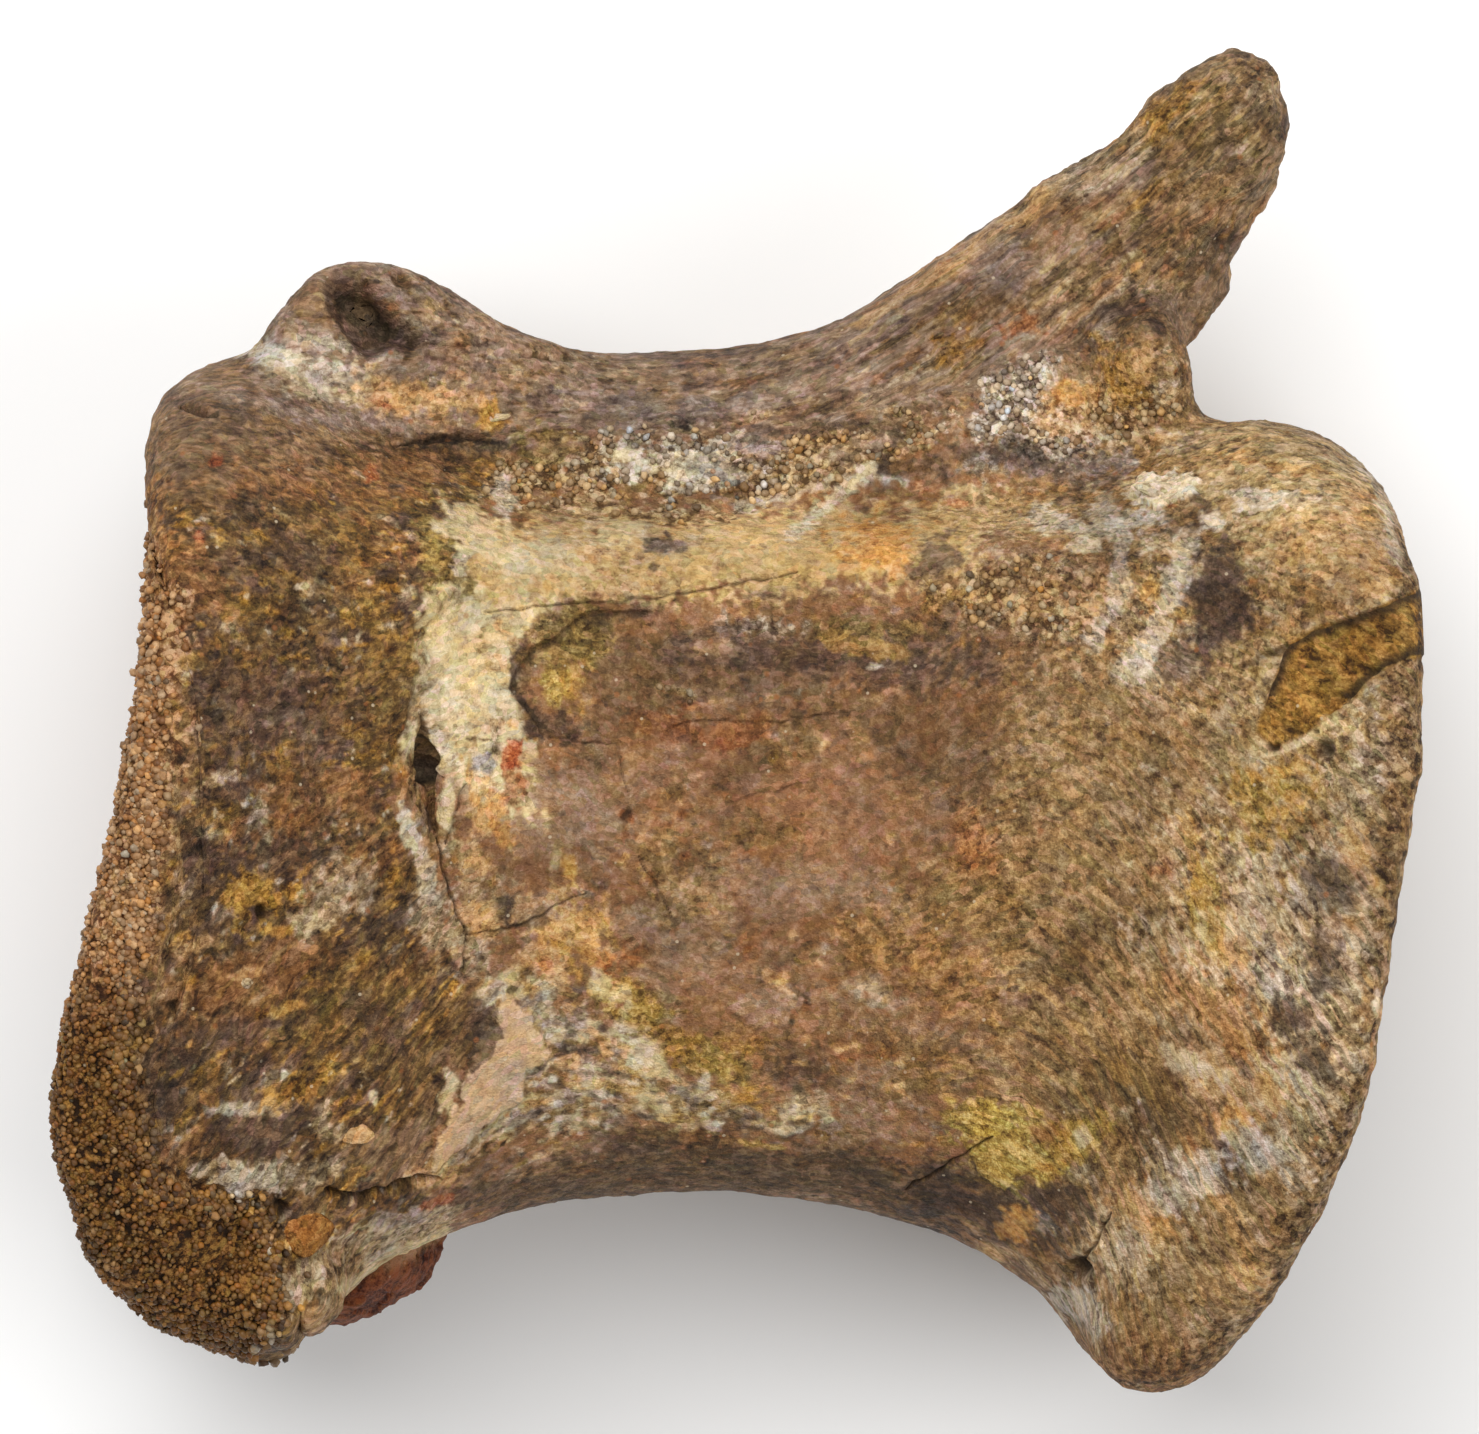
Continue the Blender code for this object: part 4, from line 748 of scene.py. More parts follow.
    ("gold", (29.2, 7.8, 1.0, 2.4, 15, 0.6, 1)),
    ("whiteStreak", (28.1, 3.2, 1.3, 1.5, 0, 0.8, 0.9)),
    ("rustBrown", (24.9, 9.1, 3.1, 2.5, 0, 0.6, 1), (-31.7, -16.6, 4.2, 1.5, 10, 0.7, 0.8)),
    ("orange", (37.3, 17.4, 4.2, 0.49, -12, 0.5, 1)),
    ("whiteStreak", (((34.3, 15.5), (38.9, 15.3)), 0.35, 0.8, 0.9)),
    ("peach", (42.4, 13.9, 1.3, 1.1, -40, 0.7, 0.9)),
    ("cream", (((44.2, 10.0), (45.0, 8.3)), 0.7, 0.7, 0.9),
     (((36.6, -2.7), (38.9, -1.7), (41.4, -0.1)), 0.28, 0.85, 0.6)),
    ("creamTan", (((34.3, 3.9), (36.9, 4.9)), 1.2, 0.8, 0.7)),
    ("umber", (((34.5, 4.8), (34.1, 2.9)), 0.1, 0.8, 0.6), (((35.4, 4.9), (34.9, 2.5)), 0.1, 0.8, 0.6),
     (((36.2, 5.0), (35.8, 2.4)), 0.1, 0.8, 0.6), (22.5, -17.2, 1.7, 1.8, 0, 0.7, 1)),
    ("gold", (37.6, -3.8, 2.9, 1.3, 18, 0.7, 0.9), (38.3, -6.6, 1.8, 1.7, 0, 0.6, 1),
     (31.7, -9.2, 0.63, 2.8, 5, 0.6, 1)),
    ("greyFleck", (42.8, -4.3, 2.0, 2.8, 0, 0.8, 0.9)),
    ("peach", (42.4, -8.4, 1.1, 1.4, 0, 0.7, 0.9)),
    ("darkPurple", (40.7, -10.9, 1.4, 1.0, -30, 0.7, 0.9)),
    ("tanSand", (27.7, -1.5, 4.9, 3.2, 0, 0.7, 1)),
    ("rust", (29.2, -10.2, 1.0, 0.8, 0, 0.5, 1)),
    ("ochre", (15.4, 25.9, 2.2, 1.0, 20, 0.7, 0.9), (26.9, 23.0, 1.7, 1.3, -40, 0.7, 0.9)),
    ("mauveBrown", (32.1, 27.1, 1.8, 2.4, 0, 0.8, 0.9)),
    ("greySand", (20.0, 22.5, 3.1, 1.7, 20, 0.8, 0.8)),
    ("darkPurple", (12.5, 17.3, 3.2, 1.4, 5, 0.8, 0.9)),
    ("greySand", (17.7, 17.3, 2.4, 1.1, 0, 0.5, 1)),
    ("purpleBrown", (-34.4, -21.6, 3.1, 1.1, 10, 0.8, 0.8)),
    ("darkPurple", (-38.7, -26.1, 1.7, 2.7, -20, 0.8, 0.9), (-40.3, -30.2, 1.4, 2.5, 0, 0.6, 0.9),
     (((-26.1, -20.0), (-23.6, -22.0)), 1.1, 0.8, 0.9)),
    ("black", (-22.0, -16.8, 0.8, 1.1, 0, 0.5, 0.9)),
    ("greyFleck", (-28.8, -13.6, 2.0, 1.1, 10, 0.9, 0.9), (-20.9, -14.8, 1.0, 1.8, 10, 0.7, 0.9)),
    ("gold", (((-32.7, -14.8), (-31.0, -14.7)), 0.35, 0.9, 0.7), (-30.5, -20.0, 1.7, 0.49, 15, 0.8, 0.8)),
    ("ochre", (-34.0, -12.1, 2.2, 1.4, 0, 0.95, 0.6)),
    ("gold", (((-34.7, -11.5), (-33.1, -12.4)), 0.28, 0.8, 0.7)),
    ("peach", (((-37.9, -15.7), (-36.4, -15.3)), 0.49, 0.8, 0.7), (-34.0, -17.6, 1.4, 0.42, 10, 0.8, 0.8),
     (-17.2, -13.6, 1.5, 1.1, -10, 0.9, 0.4)),
    ("whiteStreak", (-33.7, -26.9, 2.4, 0.63, 5, 0.7, 0.9),
     (((21.4, 13.9), (26.3, 12.8), (29.1, 13.9)), 1.0, 0.85, 0.9)),
    ("ochre", (-30.5, -25.7, 2.8, 1.0, 15, 0.8, 0.9)),
    ("white", (-25.1, -26.3, 0.42, 0.56, 0, 0.8, 0.8), (24.2, 11.9, 1.8, 0.56, 0, 0.7, 0.9)),
    ("greyFleck", (-27.4, -28.8, 2.1, 0.8, 0, 0.7, 0.9),
     (((-37.1, -31.4), (-35.0, -31.0), (-33.1, -31.1)), 0.63, 0.8, 0.9)),
    ("mauveBrown", (-23.2, -29.8, 3.5, 1.8, 0, 0.9, 0.6)),
    ("cream", (-20.0, -25.8, 0.63, 1.7, 0, 0.9, 0.7)),
    ("peach", (((-21.6, -31.8), (-19.6, -30.0), (-16.5, -27.7)), 1.1, 0.9, 0.5)),
    ("red", (((-21.6, -34.0), (-20.0, -33.5)), 0.42, 0.7, 0.7)),
    ("lilac", (-23.2, -34.9, 2.4, 0.7, 5, 0.8, 0.8), (((-12.3, 22.3), (-2.5, 22.0), (4.6, 22.5)), 0.8, 0.6, 1),
     (((-34.9, 27.2), (-33.1, 29.3), (-31.5, 27.7), (-28.4, 26.1)), 1.0, 0.75, 1)),
    ("cream", (((-28.4, -40.7), (-24.9, -38.1), (-20.3, -36.2)), 0.8, 0.85, 0.8)),
    ("peach", (((-30.5, -42.3), (-27.3, -40.5)), 0.8, 0.8, 0.8)),
    ("yellowGreen", (32.0, -14.0, 0.8, 2.4, 5, 0.8, 0.9)),
    ("cream", (32.3, -14.8, 0.42, 1.5, 5, 0.8, 0.9)),
    ("orangeBrown", (33.4, -20.3, 4.5, 2.4, -30, 0.85, 0.8), (34.4, -16.1, 1.8, 1.5, 0, 0.7, 0.9)),
    ("whiteStreak", (37.8, -18.0, 1.7, 2.0, 0, 0.85, 0.9), (((-30.5, 26.3), (-24.9, 25.8)), 0.63, 0.8, 0.9)),
    ("darkPurple", (((38.0, -20.4), (40.4, -23.9)), 1.3, 0.85, 1), (40.7, -16.9, 1.1, 2.4, 0, 0.8, 0.9),
     (-15.3, -13.4, 0.8, 1.4, 10, 0.95, 0.4), (-17.6, -20.7, 0.9, 2.1, 0, 0.85, 0.8)),
    ("peach", (((32.6, -24.4), (36.1, -26.2)), 1.7, 0.85, 0.8),
     (((-16.2, -19.4), (-14.4, -21.8), (-13.3, -23.2)), 1.1, 0.95, 0.4)),
    ("cream", (((30.5, -23.4), (33.6, -24.8)), 0.8, 0.85, 0.8)),
    ("orange", (34.6, -27.9, 2.0, 1.3, 0, 0.8, 0.7), (((-16.5, -5.7), (-16.0, -8.5)), 0.8, 0.7, 0.9)),
    ("umber", (29.3, -27.6, 2.8, 1.5, -15, 0.85, 0.8), (((31.9, 39.8), (30.5, 34.2)), 1.8, 0.75, 1)),
    ("whiteStreak", (36.6, -30.0, 3.1, 1.8, -10, 0.7, 0.9), (31.8, -30.7, 2.7, 1.3, 0, 0.7, 0.9)),
    ("sulphur", (19.6, -31.2, 3.5, 1.3, -5, 1, 0.6)),
    ("yellowGreen", (23.7, -29.3, 1.7, 1.5, 0, 0.9, 0.7)),
    ("cream", (24.0, -29.0, 0.63, 0.63, 0, 0.7, 0.8)),
    ("rustBrown", (21.3, -28.9, 1.1, 0.8, 0, 0.9, 0.6)),
    ("gold", (((17.5, -29.5), (19.3, -31.8), (22.8, -30.9)), 0.35, 0.7, 0.9), (-17.0, 20.7, 1.3, 1.0, 0, 0.85, 0.8)),
    ("darkPurple", (15.6, -33.7, 3.6, 2.2, -15, 0.9, 0.6), (23.7, -33.0, 2.1, 1.1, 0, 0.9, 0.7)),
    ("orange", (19.8, -35.2, 1.5, 1.2, -10, 0.8, 0.6)),
    ("peach", (18.4, -37.4, 1.3, 0.49, -20, 0.8, 0.6)),
    ("whiteStreak", (((29.1, -33.5), (33.2, -32.1)), 1.3, 0.8, 0.9)),
    ("peach", (27.7, -34.2, 1.8, 1.3, 0, 0.8, 0.7)),
    ("whiteStreak", (23.3, -40.6, 1.3, 1.5, 20, 0.9, 0.7)),
    ("paleFibre", (27.7, -38.5, 3.4, 2.4, -40, 0.8, 0.8)),
    ("tanSand", (31.8, -39.0, 3.6, 3.1, 0, 0.7, 0.9)),
    ("peach", (35.0, -38.2, 1.3, 0.9, -20, 0.8, 0.6)),
    ("oliveBrown", (30.5, -40.7, 4.2, 2.8, -20, 0.6, 0.9)),
    ("cream", (-15.5, 19.5, 0.8, 0.35, 15, 0.9, 0.5)),
    ("black", (((-21.2, 19.5), (-17.9, 19.3), (-14.7, 19.0)), 0.35, 0.8, 0.8)),
    ("olive", (-13.2, 19.0, 2.4, 1.4, 0, 0.7, 0.9), (33.6, 41.9, 1.8, 2.8, 0, 0.6, 0.9)),
    ("white", (-6.1, 17.8, 2.7, 1.4, -15, 0.85, 0.9)),
    ("greyBlue", (-1.5, 17.4, 1.7, 0.8, 0, 0.85, 0.8)),
    # this black streak is a painted shadow
    ("black", (-4.0, 20.5, 1.3, 0.42, 0, 0.7, 0.8)),
    ("lilac", (1.5, 19.0, 2.0, 0.9, 0, 0.8, 0.9)),
    ("darkPurple", (((1.8, 20.2), (8.8, 20.6), (11.6, 20.2)), 0.8, 0.75, 0.9),
     (((33.6, 41.9), (34.1, 39.1)), 0.8, 0.6, 1)),
    ("umber", (12.4, 17.4, 1.8, 0.7, 0, 0.7, 0.9)),
    ("white", (((9.5, 17.6), (6.8, 15.3), (4.1, 12.7)), 0.56, 0.85, 0.9)),
    ("cream", (-8.2, 12.7, 2.4, 0.9, 0, 0.8, 0.8)),
    ("orange", (-11.6, 11.1, 1.8, 0.63, 0, 0.7, 0.9), (9.5, 12.3, 3.2, 1.7, 10, 0.85, 0.8)),
    ("darkPurple", (-4.8, 12.1, 1.3, 0.63, 0, 0.9, 0.7)),
    ("olive", (-18.7, 15.3, 1.5, 1.7, 0, 0.7, 0.9), (((-12.3, 4.9), (-10.2, 6.3)), 2.1, 0.85, 0.8)),
    ("purpleBrown", (14.4, 11.1, 2.1, 1.5, 0, 0.8, 0.9)),
    ("lilac", (((19.3, 17.4), (27.0, 17.9)), 1.0, 0.8, 0.9)),
    ("peach", (((-24.5, 22.8), (-20.0, 22.4)), 0.8, 0.7, 0.9)),
    ("lilac", (((-35.4, 22.3), (-28.4, 21.0), (-22.1, 20.5)), 0.8, 0.7, 0.9)),
    ("creamTan", (((-16.5, -23.7), (-17.7, -25.5)), 1.3, 0.9, 0.4)),
    ("peach", (-15.1, -25.0, 1.4, 1.1, 0, 0.9, 0.4)),
    ("black", (-12.8, -22.3, 0.49, 0.7, 10, 0.95, 0.2), (-15.0, -26.3, 0.42, 1.1, 25, 0.9, 0.5)),
    ("darkPurple", (((-11.2, -21.7), (-10.0, -23.2)), 0.35, 0.9, 0.4),
     (((-14.4, -19.2), (-13.6, -20.6)), 0.28, 0.9, 0.4)),
    ("peach", (-11.6, -22.7, 0.8, 1.0, 20, 0.8, 0.6), (-12.7, -18.8, 1.4, 0.8, 0, 0.7, 0.8)),
    ("cream", (-6.0, -22.8, 1.4, 0.9, -20, 0.9, 0.5)),
    ("lilac", (-9.2, -24.4, 2.4, 1.1, 15, 0.95, 0.6)),
    ("white", (-10.6, -25.7, 0.56, 0.56, 0, 0.95, 0.4), (((28.1, 15.3), (31.7, 16.1)), 0.9, 0.95, 0.5),
     (32.9, 13.4, 1.2, 0.63, -30, 0.9, 0.6)),
    ("cream", (-8.6, -27.0, 0.9, 0.8, 0, 0.95, 0.5)),
    ("darkGrey", (((-4.1, -25.3), (-3.3, -27.0)), 0.35, 0.8, 0.8), (((31.5, 31.4), (32.6, 33.8)), 1.1, 0.7, 0.9)),
    ("gold", (-0.4, -26.2, 2.1, 0.8, 0, 0.5, 1), (((6.7, 5.5), (11.6, 4.4)), 0.63, 0.5, 1)),
    ("yellowGreen", (-1.9, -27.2, 1.1, 0.56, 0, 0.8, 0.8), (-6.4, -20.2, 2.4, 1.2, -10, 0.85, 0.8)),
    ("darkPurple", (((-0.9, -28.0), (3.2, -27.9)), 0.42, 0.9, 0.5)),
    ("white", (4.1, -27.7, 1.4, 0.7, 0, 0.85, 0.8)),
    ("sulphur", (5.0, -27.8, 0.56, 0.35, 0, 0.95, 0.4), (((-13.1, 3.2), (-12.5, 1.3)), 0.8, 0.75, 0.9)),
    ("lilac", (6.5, -28.6, 1.2, 0.49, -10, 0.8, 0.7)),
    ("umber", (((-8.1, -29.1), (-0.4, -29.4)), 0.8, 0.85, 0.8), (((-14.5, 4.4), (-14.8, 2.0)), 0.56, 0.8, 0.7),
     (((-40.3, 27.2), (-36.8, 25.8), (-34.0, 24.2)), 0.7, 0.7, 1)),
    ("yellowGreen", (((3.4, -30.0), (0.4, -29.5)), 0.28, 0.8, 0.8)),
    ("bellyDark", (((-12.3, -30.9), (-2.5, -30.7), (8.1, -31.4)), 1.0, 0.8, 0.8)),
    ("ochre", (-4.1, -22.5, 2.1, 1.5, 0, 0.75, 0.9)),
    ("sulphur", (-8.3, -19.0, 1.1, 0.49, 0, 0.8, 0.8)),
    ("gold", (-12.0, -15.3, 1.8, 1.4, 0, 0.9, 0.7)),
    ("rust", (-8.9, -17.1, 1.1, 0.8, 0, 0.85, 0.7)),
    ("red", (-13.1, -17.1, 1.0, 0.56, 0, 0.45, 0.9)),
    ("pinkBrown", (-1.5, -18.7, 2.8, 2.4, 0, 0.8, 0.8)),
    ("ochre", (0.4, -22.5, 2.1, 1.1, 0, 0.6, 0.9)),
    ("darkPurple", (4.1, -24.5, 2.4, 1.4, -10, 0.8, 0.9), (((-13.3, -0.3), (-11.6, -1.0)), 1.0, 0.9, 0.7),
     (((-9.5, 7.0), (-6.7, 7.4)), 0.8, 0.6, 0.9), (((-39.6, 22.3), (-33.2, 20.9)), 0.8, 0.7, 1)),
    ("peach", (4.5, -24.0, 0.56, 0.28, 0, 0.8, 0.5), (-2.5, -12.7, 2.8, 1.4, -10, 0.5, 1),
     (((-17.9, -9.9), (-18.6, -12.7)), 1.0, 0.7, 0.9), (((-18.7, -13.1), (-17.0, -14.5)), 1.0, 0.85, 0.5)),
    ("whiteStreak", (9.7, -19.5, 2.0, 1.1, -20, 0.6, 0.9), (((31.6, 12.5), (30.1, 8.3), (28.4, 3.8)), 0.8, 0.8, 0.9)),
    ("darkGrey", (4.0, -21.1, 0.28, 0.21, 0, 0.9, 0.2)),
    ("darkPurple", (((33.7, 11.1), (34.8, 6.9)), 1.5, 0.85, 0.8), (((-16.5, -13.0), (-15.2, -14.1)), 0.63, 0.6, 1)),
    ("umber", (31.2, 13.6, 1.3, 0.8, 0, 0.8, 0.8)),
    ("whiteStreak", (((35.4, 14.9), (40.3, 14.9)), 0.7, 0.7, 0.9), (((44.6, 17.4), (46.1, 11.1)), 1.1, 0.8, 1)),
    ("greySand", (22.1, 20.0, 4.2, 2.1, -10, 0.8, 0.9)),
    ("orange", (22.9, 22.8, 2.0, 1.0, 20, 0.7, 0.9)),
    ("darkPurple", (((18.6, 18.4), (22.8, 17.4)), 0.8, 0.7, 0.9), (((17.2, 30.0), (20.0, 32.8)), 1.8, 0.6, 1)),
    ("olive", (9.5, 6.2, 4.2, 1.1, 0, 0.6, 1)),
    ("fossaDark", (((4.6, 1.3), (11.6, -0.1)), 1.8, 0.7, 1)),
    ("rust", (((-6.7, -0.1), (-2.5, -1.2), (1.8, -0.7)), 1.0, 0.5, 1), (-15.1, -5.0, 1.0, 1.4, 0, 0.7, 0.8)),
    ("orangeBrown", (((10.2, -15.5), (15.8, -18.3)), 3.1, 0.5, 1), (((-41.0, 15.3), (-39.6, 11.1)), 1.8, 0.6, 1)),
    ("oliveBrown", (((13.7, -12.7), (18.6, -14.8)), 2.8, 0.7, 1)),
    ("ochre", (11.6, -22.5, 4.2, 1.8, -20, 0.5, 1)),
    ("pinkGrey", (((0.4, -11.3), (4.6, -12.7)), 1.7, 0.7, 1)),
    ("lilac", (((-6.7, 11.1), (-2.5, 12.5)), 0.56, 0.5, 1)),
    ("red", (((-15.4, -2.9), (-15.1, -1.8)), 0.7, 0.9, 0.6), (((-38.6, 24.6), (-40.3, 23.7)), 0.42, 0.6, 1)),
    ("greyBlue", (-17.4, -3.2, 0.9, 0.7, 0, 0.8, 0.7)),
    ("white", (((-20.7, -1.5), (-19.8, -2.9)), 0.56, 0.7, 0.8)),
    ("peach", (((43.1, 15.3), (44.8, 9.0)), 1.0, 0.7, 1), (((21.4, 21.2), (24.9, 20.2)), 1.1, 0.6, 1),
     (38.9, 11.1, 2.1, 1.1, 10, 0.6, 0.9)),
    ("black", (((19.3, 19.5), (21.4, 18.6)), 0.63, 0.7, 0.9)),
    ("smoothCream", (((-6.7, -24.5), (-5.8, -23.2), (-6.7, -22.7)), 0.8, 0.95, 0.35),
     (-7.6, -25.9, 0.8, 0.63, 0, 0.7, 0.5)),
    ("white", (-10.6, -25.8, 0.56, 0.63, 20, 0.9, 0.35),
     (((-8.8, -27.3), (-6.0, -27.6), (-3.2, -26.7), (-2.1, -25.2)), 0.56, 0.8, 0.8)),
    ("black", (-12.5, -22.5, 0.42, 0.8, 10, 0.9, 0.3)),
    ("darkPurple", (((-10.2, -21.8), (-8.6, -23.9)), 0.42, 0.85, 0.8),
     (((-9.5, -29.2), (-6.7, -29.8)), 0.7, 0.6, 0.9)),
    ("darkGrey", (((-13.7, -26.0), (-14.8, -27.4)), 0.42, 0.9, 0.7)),
    ("pinkGrey", (-3.2, -16.9, 2.4, 3.1, 0, 0.8, 0.8)),
    ("redBrown", (-0.4, -19.7, 2.8, 2.8, 0, 0.7, 0.9)),
    ("rust", (-9.2, -17.1, 1.0, 0.9, 0, 0.8, 0.6)),
    ("pinkGrey", (-6.7, -14.8, 1.8, 1.7, 0, 0.8, 0.7)),
    ("cream", (((-19.3, 13.9), (-15.1, 11.1), (-12.3, 11.1)), 1.5, 0.7, 0.8),
     (((-19.6, 5.5), (-18.2, 1.3)), 1.5, 0.75, 0.6)),
    ("white", (((-20.0, 2.0), (-19.1, -0.8)), 0.56, 0.7, 0.8)),
    ("whiteStreak", (((25.6, 15.3), (27.0, 12.5), (26.6, 8.3), (24.9, 5.5)), 0.8, 0.6, 0.9)),
    ("peach", (((-12.5, -14.5), (-9.5, -15.4)), 1.4, 0.7, 0.8)),
    ("orange", (-9.6, -16.9, 1.5, 1.3, 0, 0.75, 0.7)),
    ("cream", (((-20.7, 7.6), (-19.8, 4.1), (-20.1, 1.3)), 1.7, 0.7, 0.6),
     (((-9.5, -18.3), (-7.5, -19.7)), 0.8, 0.6, 0.9)),
    ("peach", (((-15.1, -13.1), (-12.3, -12.4)), 1.0, 0.7, 0.8)),
    ("lilac", (((-9.5, -24.1), (-6.7, -25.1)), 0.8, 0.8, 0.7)),
    ("greyFleck", (((22.8, 37.7), (25.6, 39.8)), 1.5, 0.6, 1)),
    ("lilac", (((15.8, 33.8), (20.0, 32.1)), 1.3, 0.5, 1)),
)


# Clouds of other finishes in each zone: finish, size along and across the fibres, how rare, and how strong
zoneClouds = {
    "flare": (("darkPurple", (9.0, 3.6), 0.15, 0.6), ("goldUmber", (7.0, 3.0), 0.1, 0.8),
              ("rustBrown", (6.0, 3.0), 0.25, 0.75), ("purpleBrown", (4.0, 1.6), 0.15, 0.85),
              ("greyFleck", (3.0, 1.2), 0.42, 0.85), ("ochre", (2.6, 0.9), 0.4, 0.85),
              ("darkPurple", (2.4, 0.9), 0.35, 0.85), ("paleFibre", (1.4, 0.4), 0.58, 0.85),
              ("darkGrey", (1.6, 0.5), 0.6, 0.8), ("gold", (2.2, 0.35), 0.52, 0.85), ("orange", (1.0, 0.5), 0.6, 0.8),
              ("whiteStreak", (0.9, 0.5), 0.66, 0.8)),
    "body": (("fossaDark", (7.0, 4.5), 0.12, 0.8), ("pinkGrey", (6.0, 4.5), 0.2, 0.75),
             ("pinkBrown", (3.4, 2.4), 0.1, 0.8), ("oliveBrown", (6.0, 4.0), 0.25, 0.75),
             ("fossaDark", (2.6, 1.9), 0.2, 0.75), ("pinkGrey", (2.2, 1.6), 0.3, 0.7),
             ("rust", (3.0, 2.2), 0.4, 0.55), ("peach", (1.3, 1.0), 0.45, 0.7), ("darkPurple", (1.2, 0.8), 0.5, 0.7),
             ("ochre", (1.3, 0.9), 0.55, 0.65), ("lilac", (1.6, 1.1), 0.5, 0.6),
             ("yellowGreen", (1.2, 0.8), 0.62, 0.6)),
    "rear": (("oliveBrown", (7.0, 4.0), 0.1, 0.7), ("paleFibre", (5.0, 2.2), 0.1, 0.85),
             ("purpleBrown", (3.2, 1.3), 0.3, 0.85), ("goldUmber", (4.0, 1.8), 0.3, 0.7),
             ("peach", (2.6, 1.4), 0.4, 0.75), ("greyFleck", (2.2, 0.9), 0.42, 0.8),
             ("darkPurple", (1.8, 0.6), 0.5, 0.75), ("rust", (1.6, 0.7), 0.55, 0.5)),
    "arch": (("purpleBrown", (8.0, 1.6), 0.1, 0.8), ("greyFleck", (6.0, 1.6), 0.35, 0.55),
             ("rustBrown", (5.0, 1.6), 0.35, 0.65), ("umber", (3.2, 0.5), 0.35, 0.9),
             ("darkPurple", (5.0, 0.7), 0.45, 0.85), ("paleFibre", (2.2, 0.35), 0.55, 0.7)),
    "spine": (("purpleBrown", (6.0, 3.0), 0.05, 0.85), ("greyFleck", (5.0, 2.6), 0.3, 0.65),
              ("paleFibre", (3.2, 1.4), 0.25, 0.7), ("rustBrown", (3.2, 1.8), 0.3, 0.75),
              ("ochre", (2.6, 1.4), 0.4, 0.75), ("darkPurple", (2.0, 0.8), 0.42, 0.8),
              ("black", (1.4, 0.7), 0.6, 0.75)),
    "mosaic": (("cream", (3.0, 1.8), -0.15, 0.85), ("lilac", (2.4, 1.2), 0.05, 0.85),
               ("yellowGreen", (2.2, 1.2), 0.3, 0.8), ("darkPurple", (1.4, 0.8), 0.3, 0.9),
               ("white", (1.2, 0.8), 0.3, 0.85), ("peach", (1.6, 1.2), 0.35, 0.85), ("black", (0.8, 0.5), 0.62, 0.8)),
    "band": (("peach", (3.4, 1.6), 0.2, 0.65), ("greyFleck", (3.0, 1.0), 0.38, 0.55),
             ("orange", (1.6, 0.8), 0.5, 0.55), ("whiteStreak", (2.2, 0.8), 0.4, 0.65),
             ("goldUmber", (1.0, 0.3), 0.58, 0.75)),
}


# Where, low at the front of the body, cream, white, grey-blue and yellow crusts lie side by side
mosaicOutline = ((-18.5, -18.3), (-15.0, -16.8), (-13.0, -18.8), (-7.0, -21.3), (-3.5, -24.8), (-0.6, -27.3),
                 (4.4, -26.8), (6.4, -28.3), (1.5, -28.8), (-3.5, -28.3), (-11.0, -28.3), (-16.0, -28.8),
                 (-20.5, -31.8), (-21.5, -30.3), (-18.0, -26.8), (-17.0, -21.8))


def wavers(p, upper, normals):
    # noises that push the edges of patches about: coarse and fine, for x and y, and one that breaks them up below
    # the middle plane and on steep sides the coarse ones grow, so that nothing there mirrors the view from above
    far = 1.0 + 5.0 * (1.0 - upper) + 2.0 * (1.0 - np.abs(normals[:, 2])) * (1.0 - 0.6 * upper)
    return (layers(p, 6.0, 2, 70) * far, layers(p, 6.0, 2, 80) * far, layers(p, 1.5, 2, 75), layers(p, 1.5, 2, 85),
            layers(p, 2.6, 2, 90), noise(p, 0.7, 92) + 0.6 * noise(p, 0.38, 93))


def zoneShares(p, waver):
    # how much of the flare, pale band and arch there is at each point, from 0 to 1
    x = p[:, 0] + 0.45 * waver[0] + 0.5 * waver[2]
    y = p[:, 1] + 0.45 * waver[1] + 0.5 * waver[3]
    above = y - 0.3 * np.maximum(x - 8.0, 0.0)
    arch = ramp(above + 0.1 * np.minimum(x + 20.0, 0.0), 18.6, 20.4)
    flare = ramp(xOn(flareEdge, y) - x, -0.15, 0.15) * (1.0 - arch)
    band = ((1.0 - flare) * (1.0 - ramp(x, xOn(bandEnd, y) - 0.5, xOn(bandEnd, y) + 0.5)) * (1.0 - arch)
            * ramp(y + 0.6 * (x + 20.0), -6.0, -3.0))
    spine = arch * ramp(x + 0.6 * (y - 30.0), 16.0, 24.0)
    return flare, band * (1.0 - ramp(y, 9.0, 12.0)), arch, spine


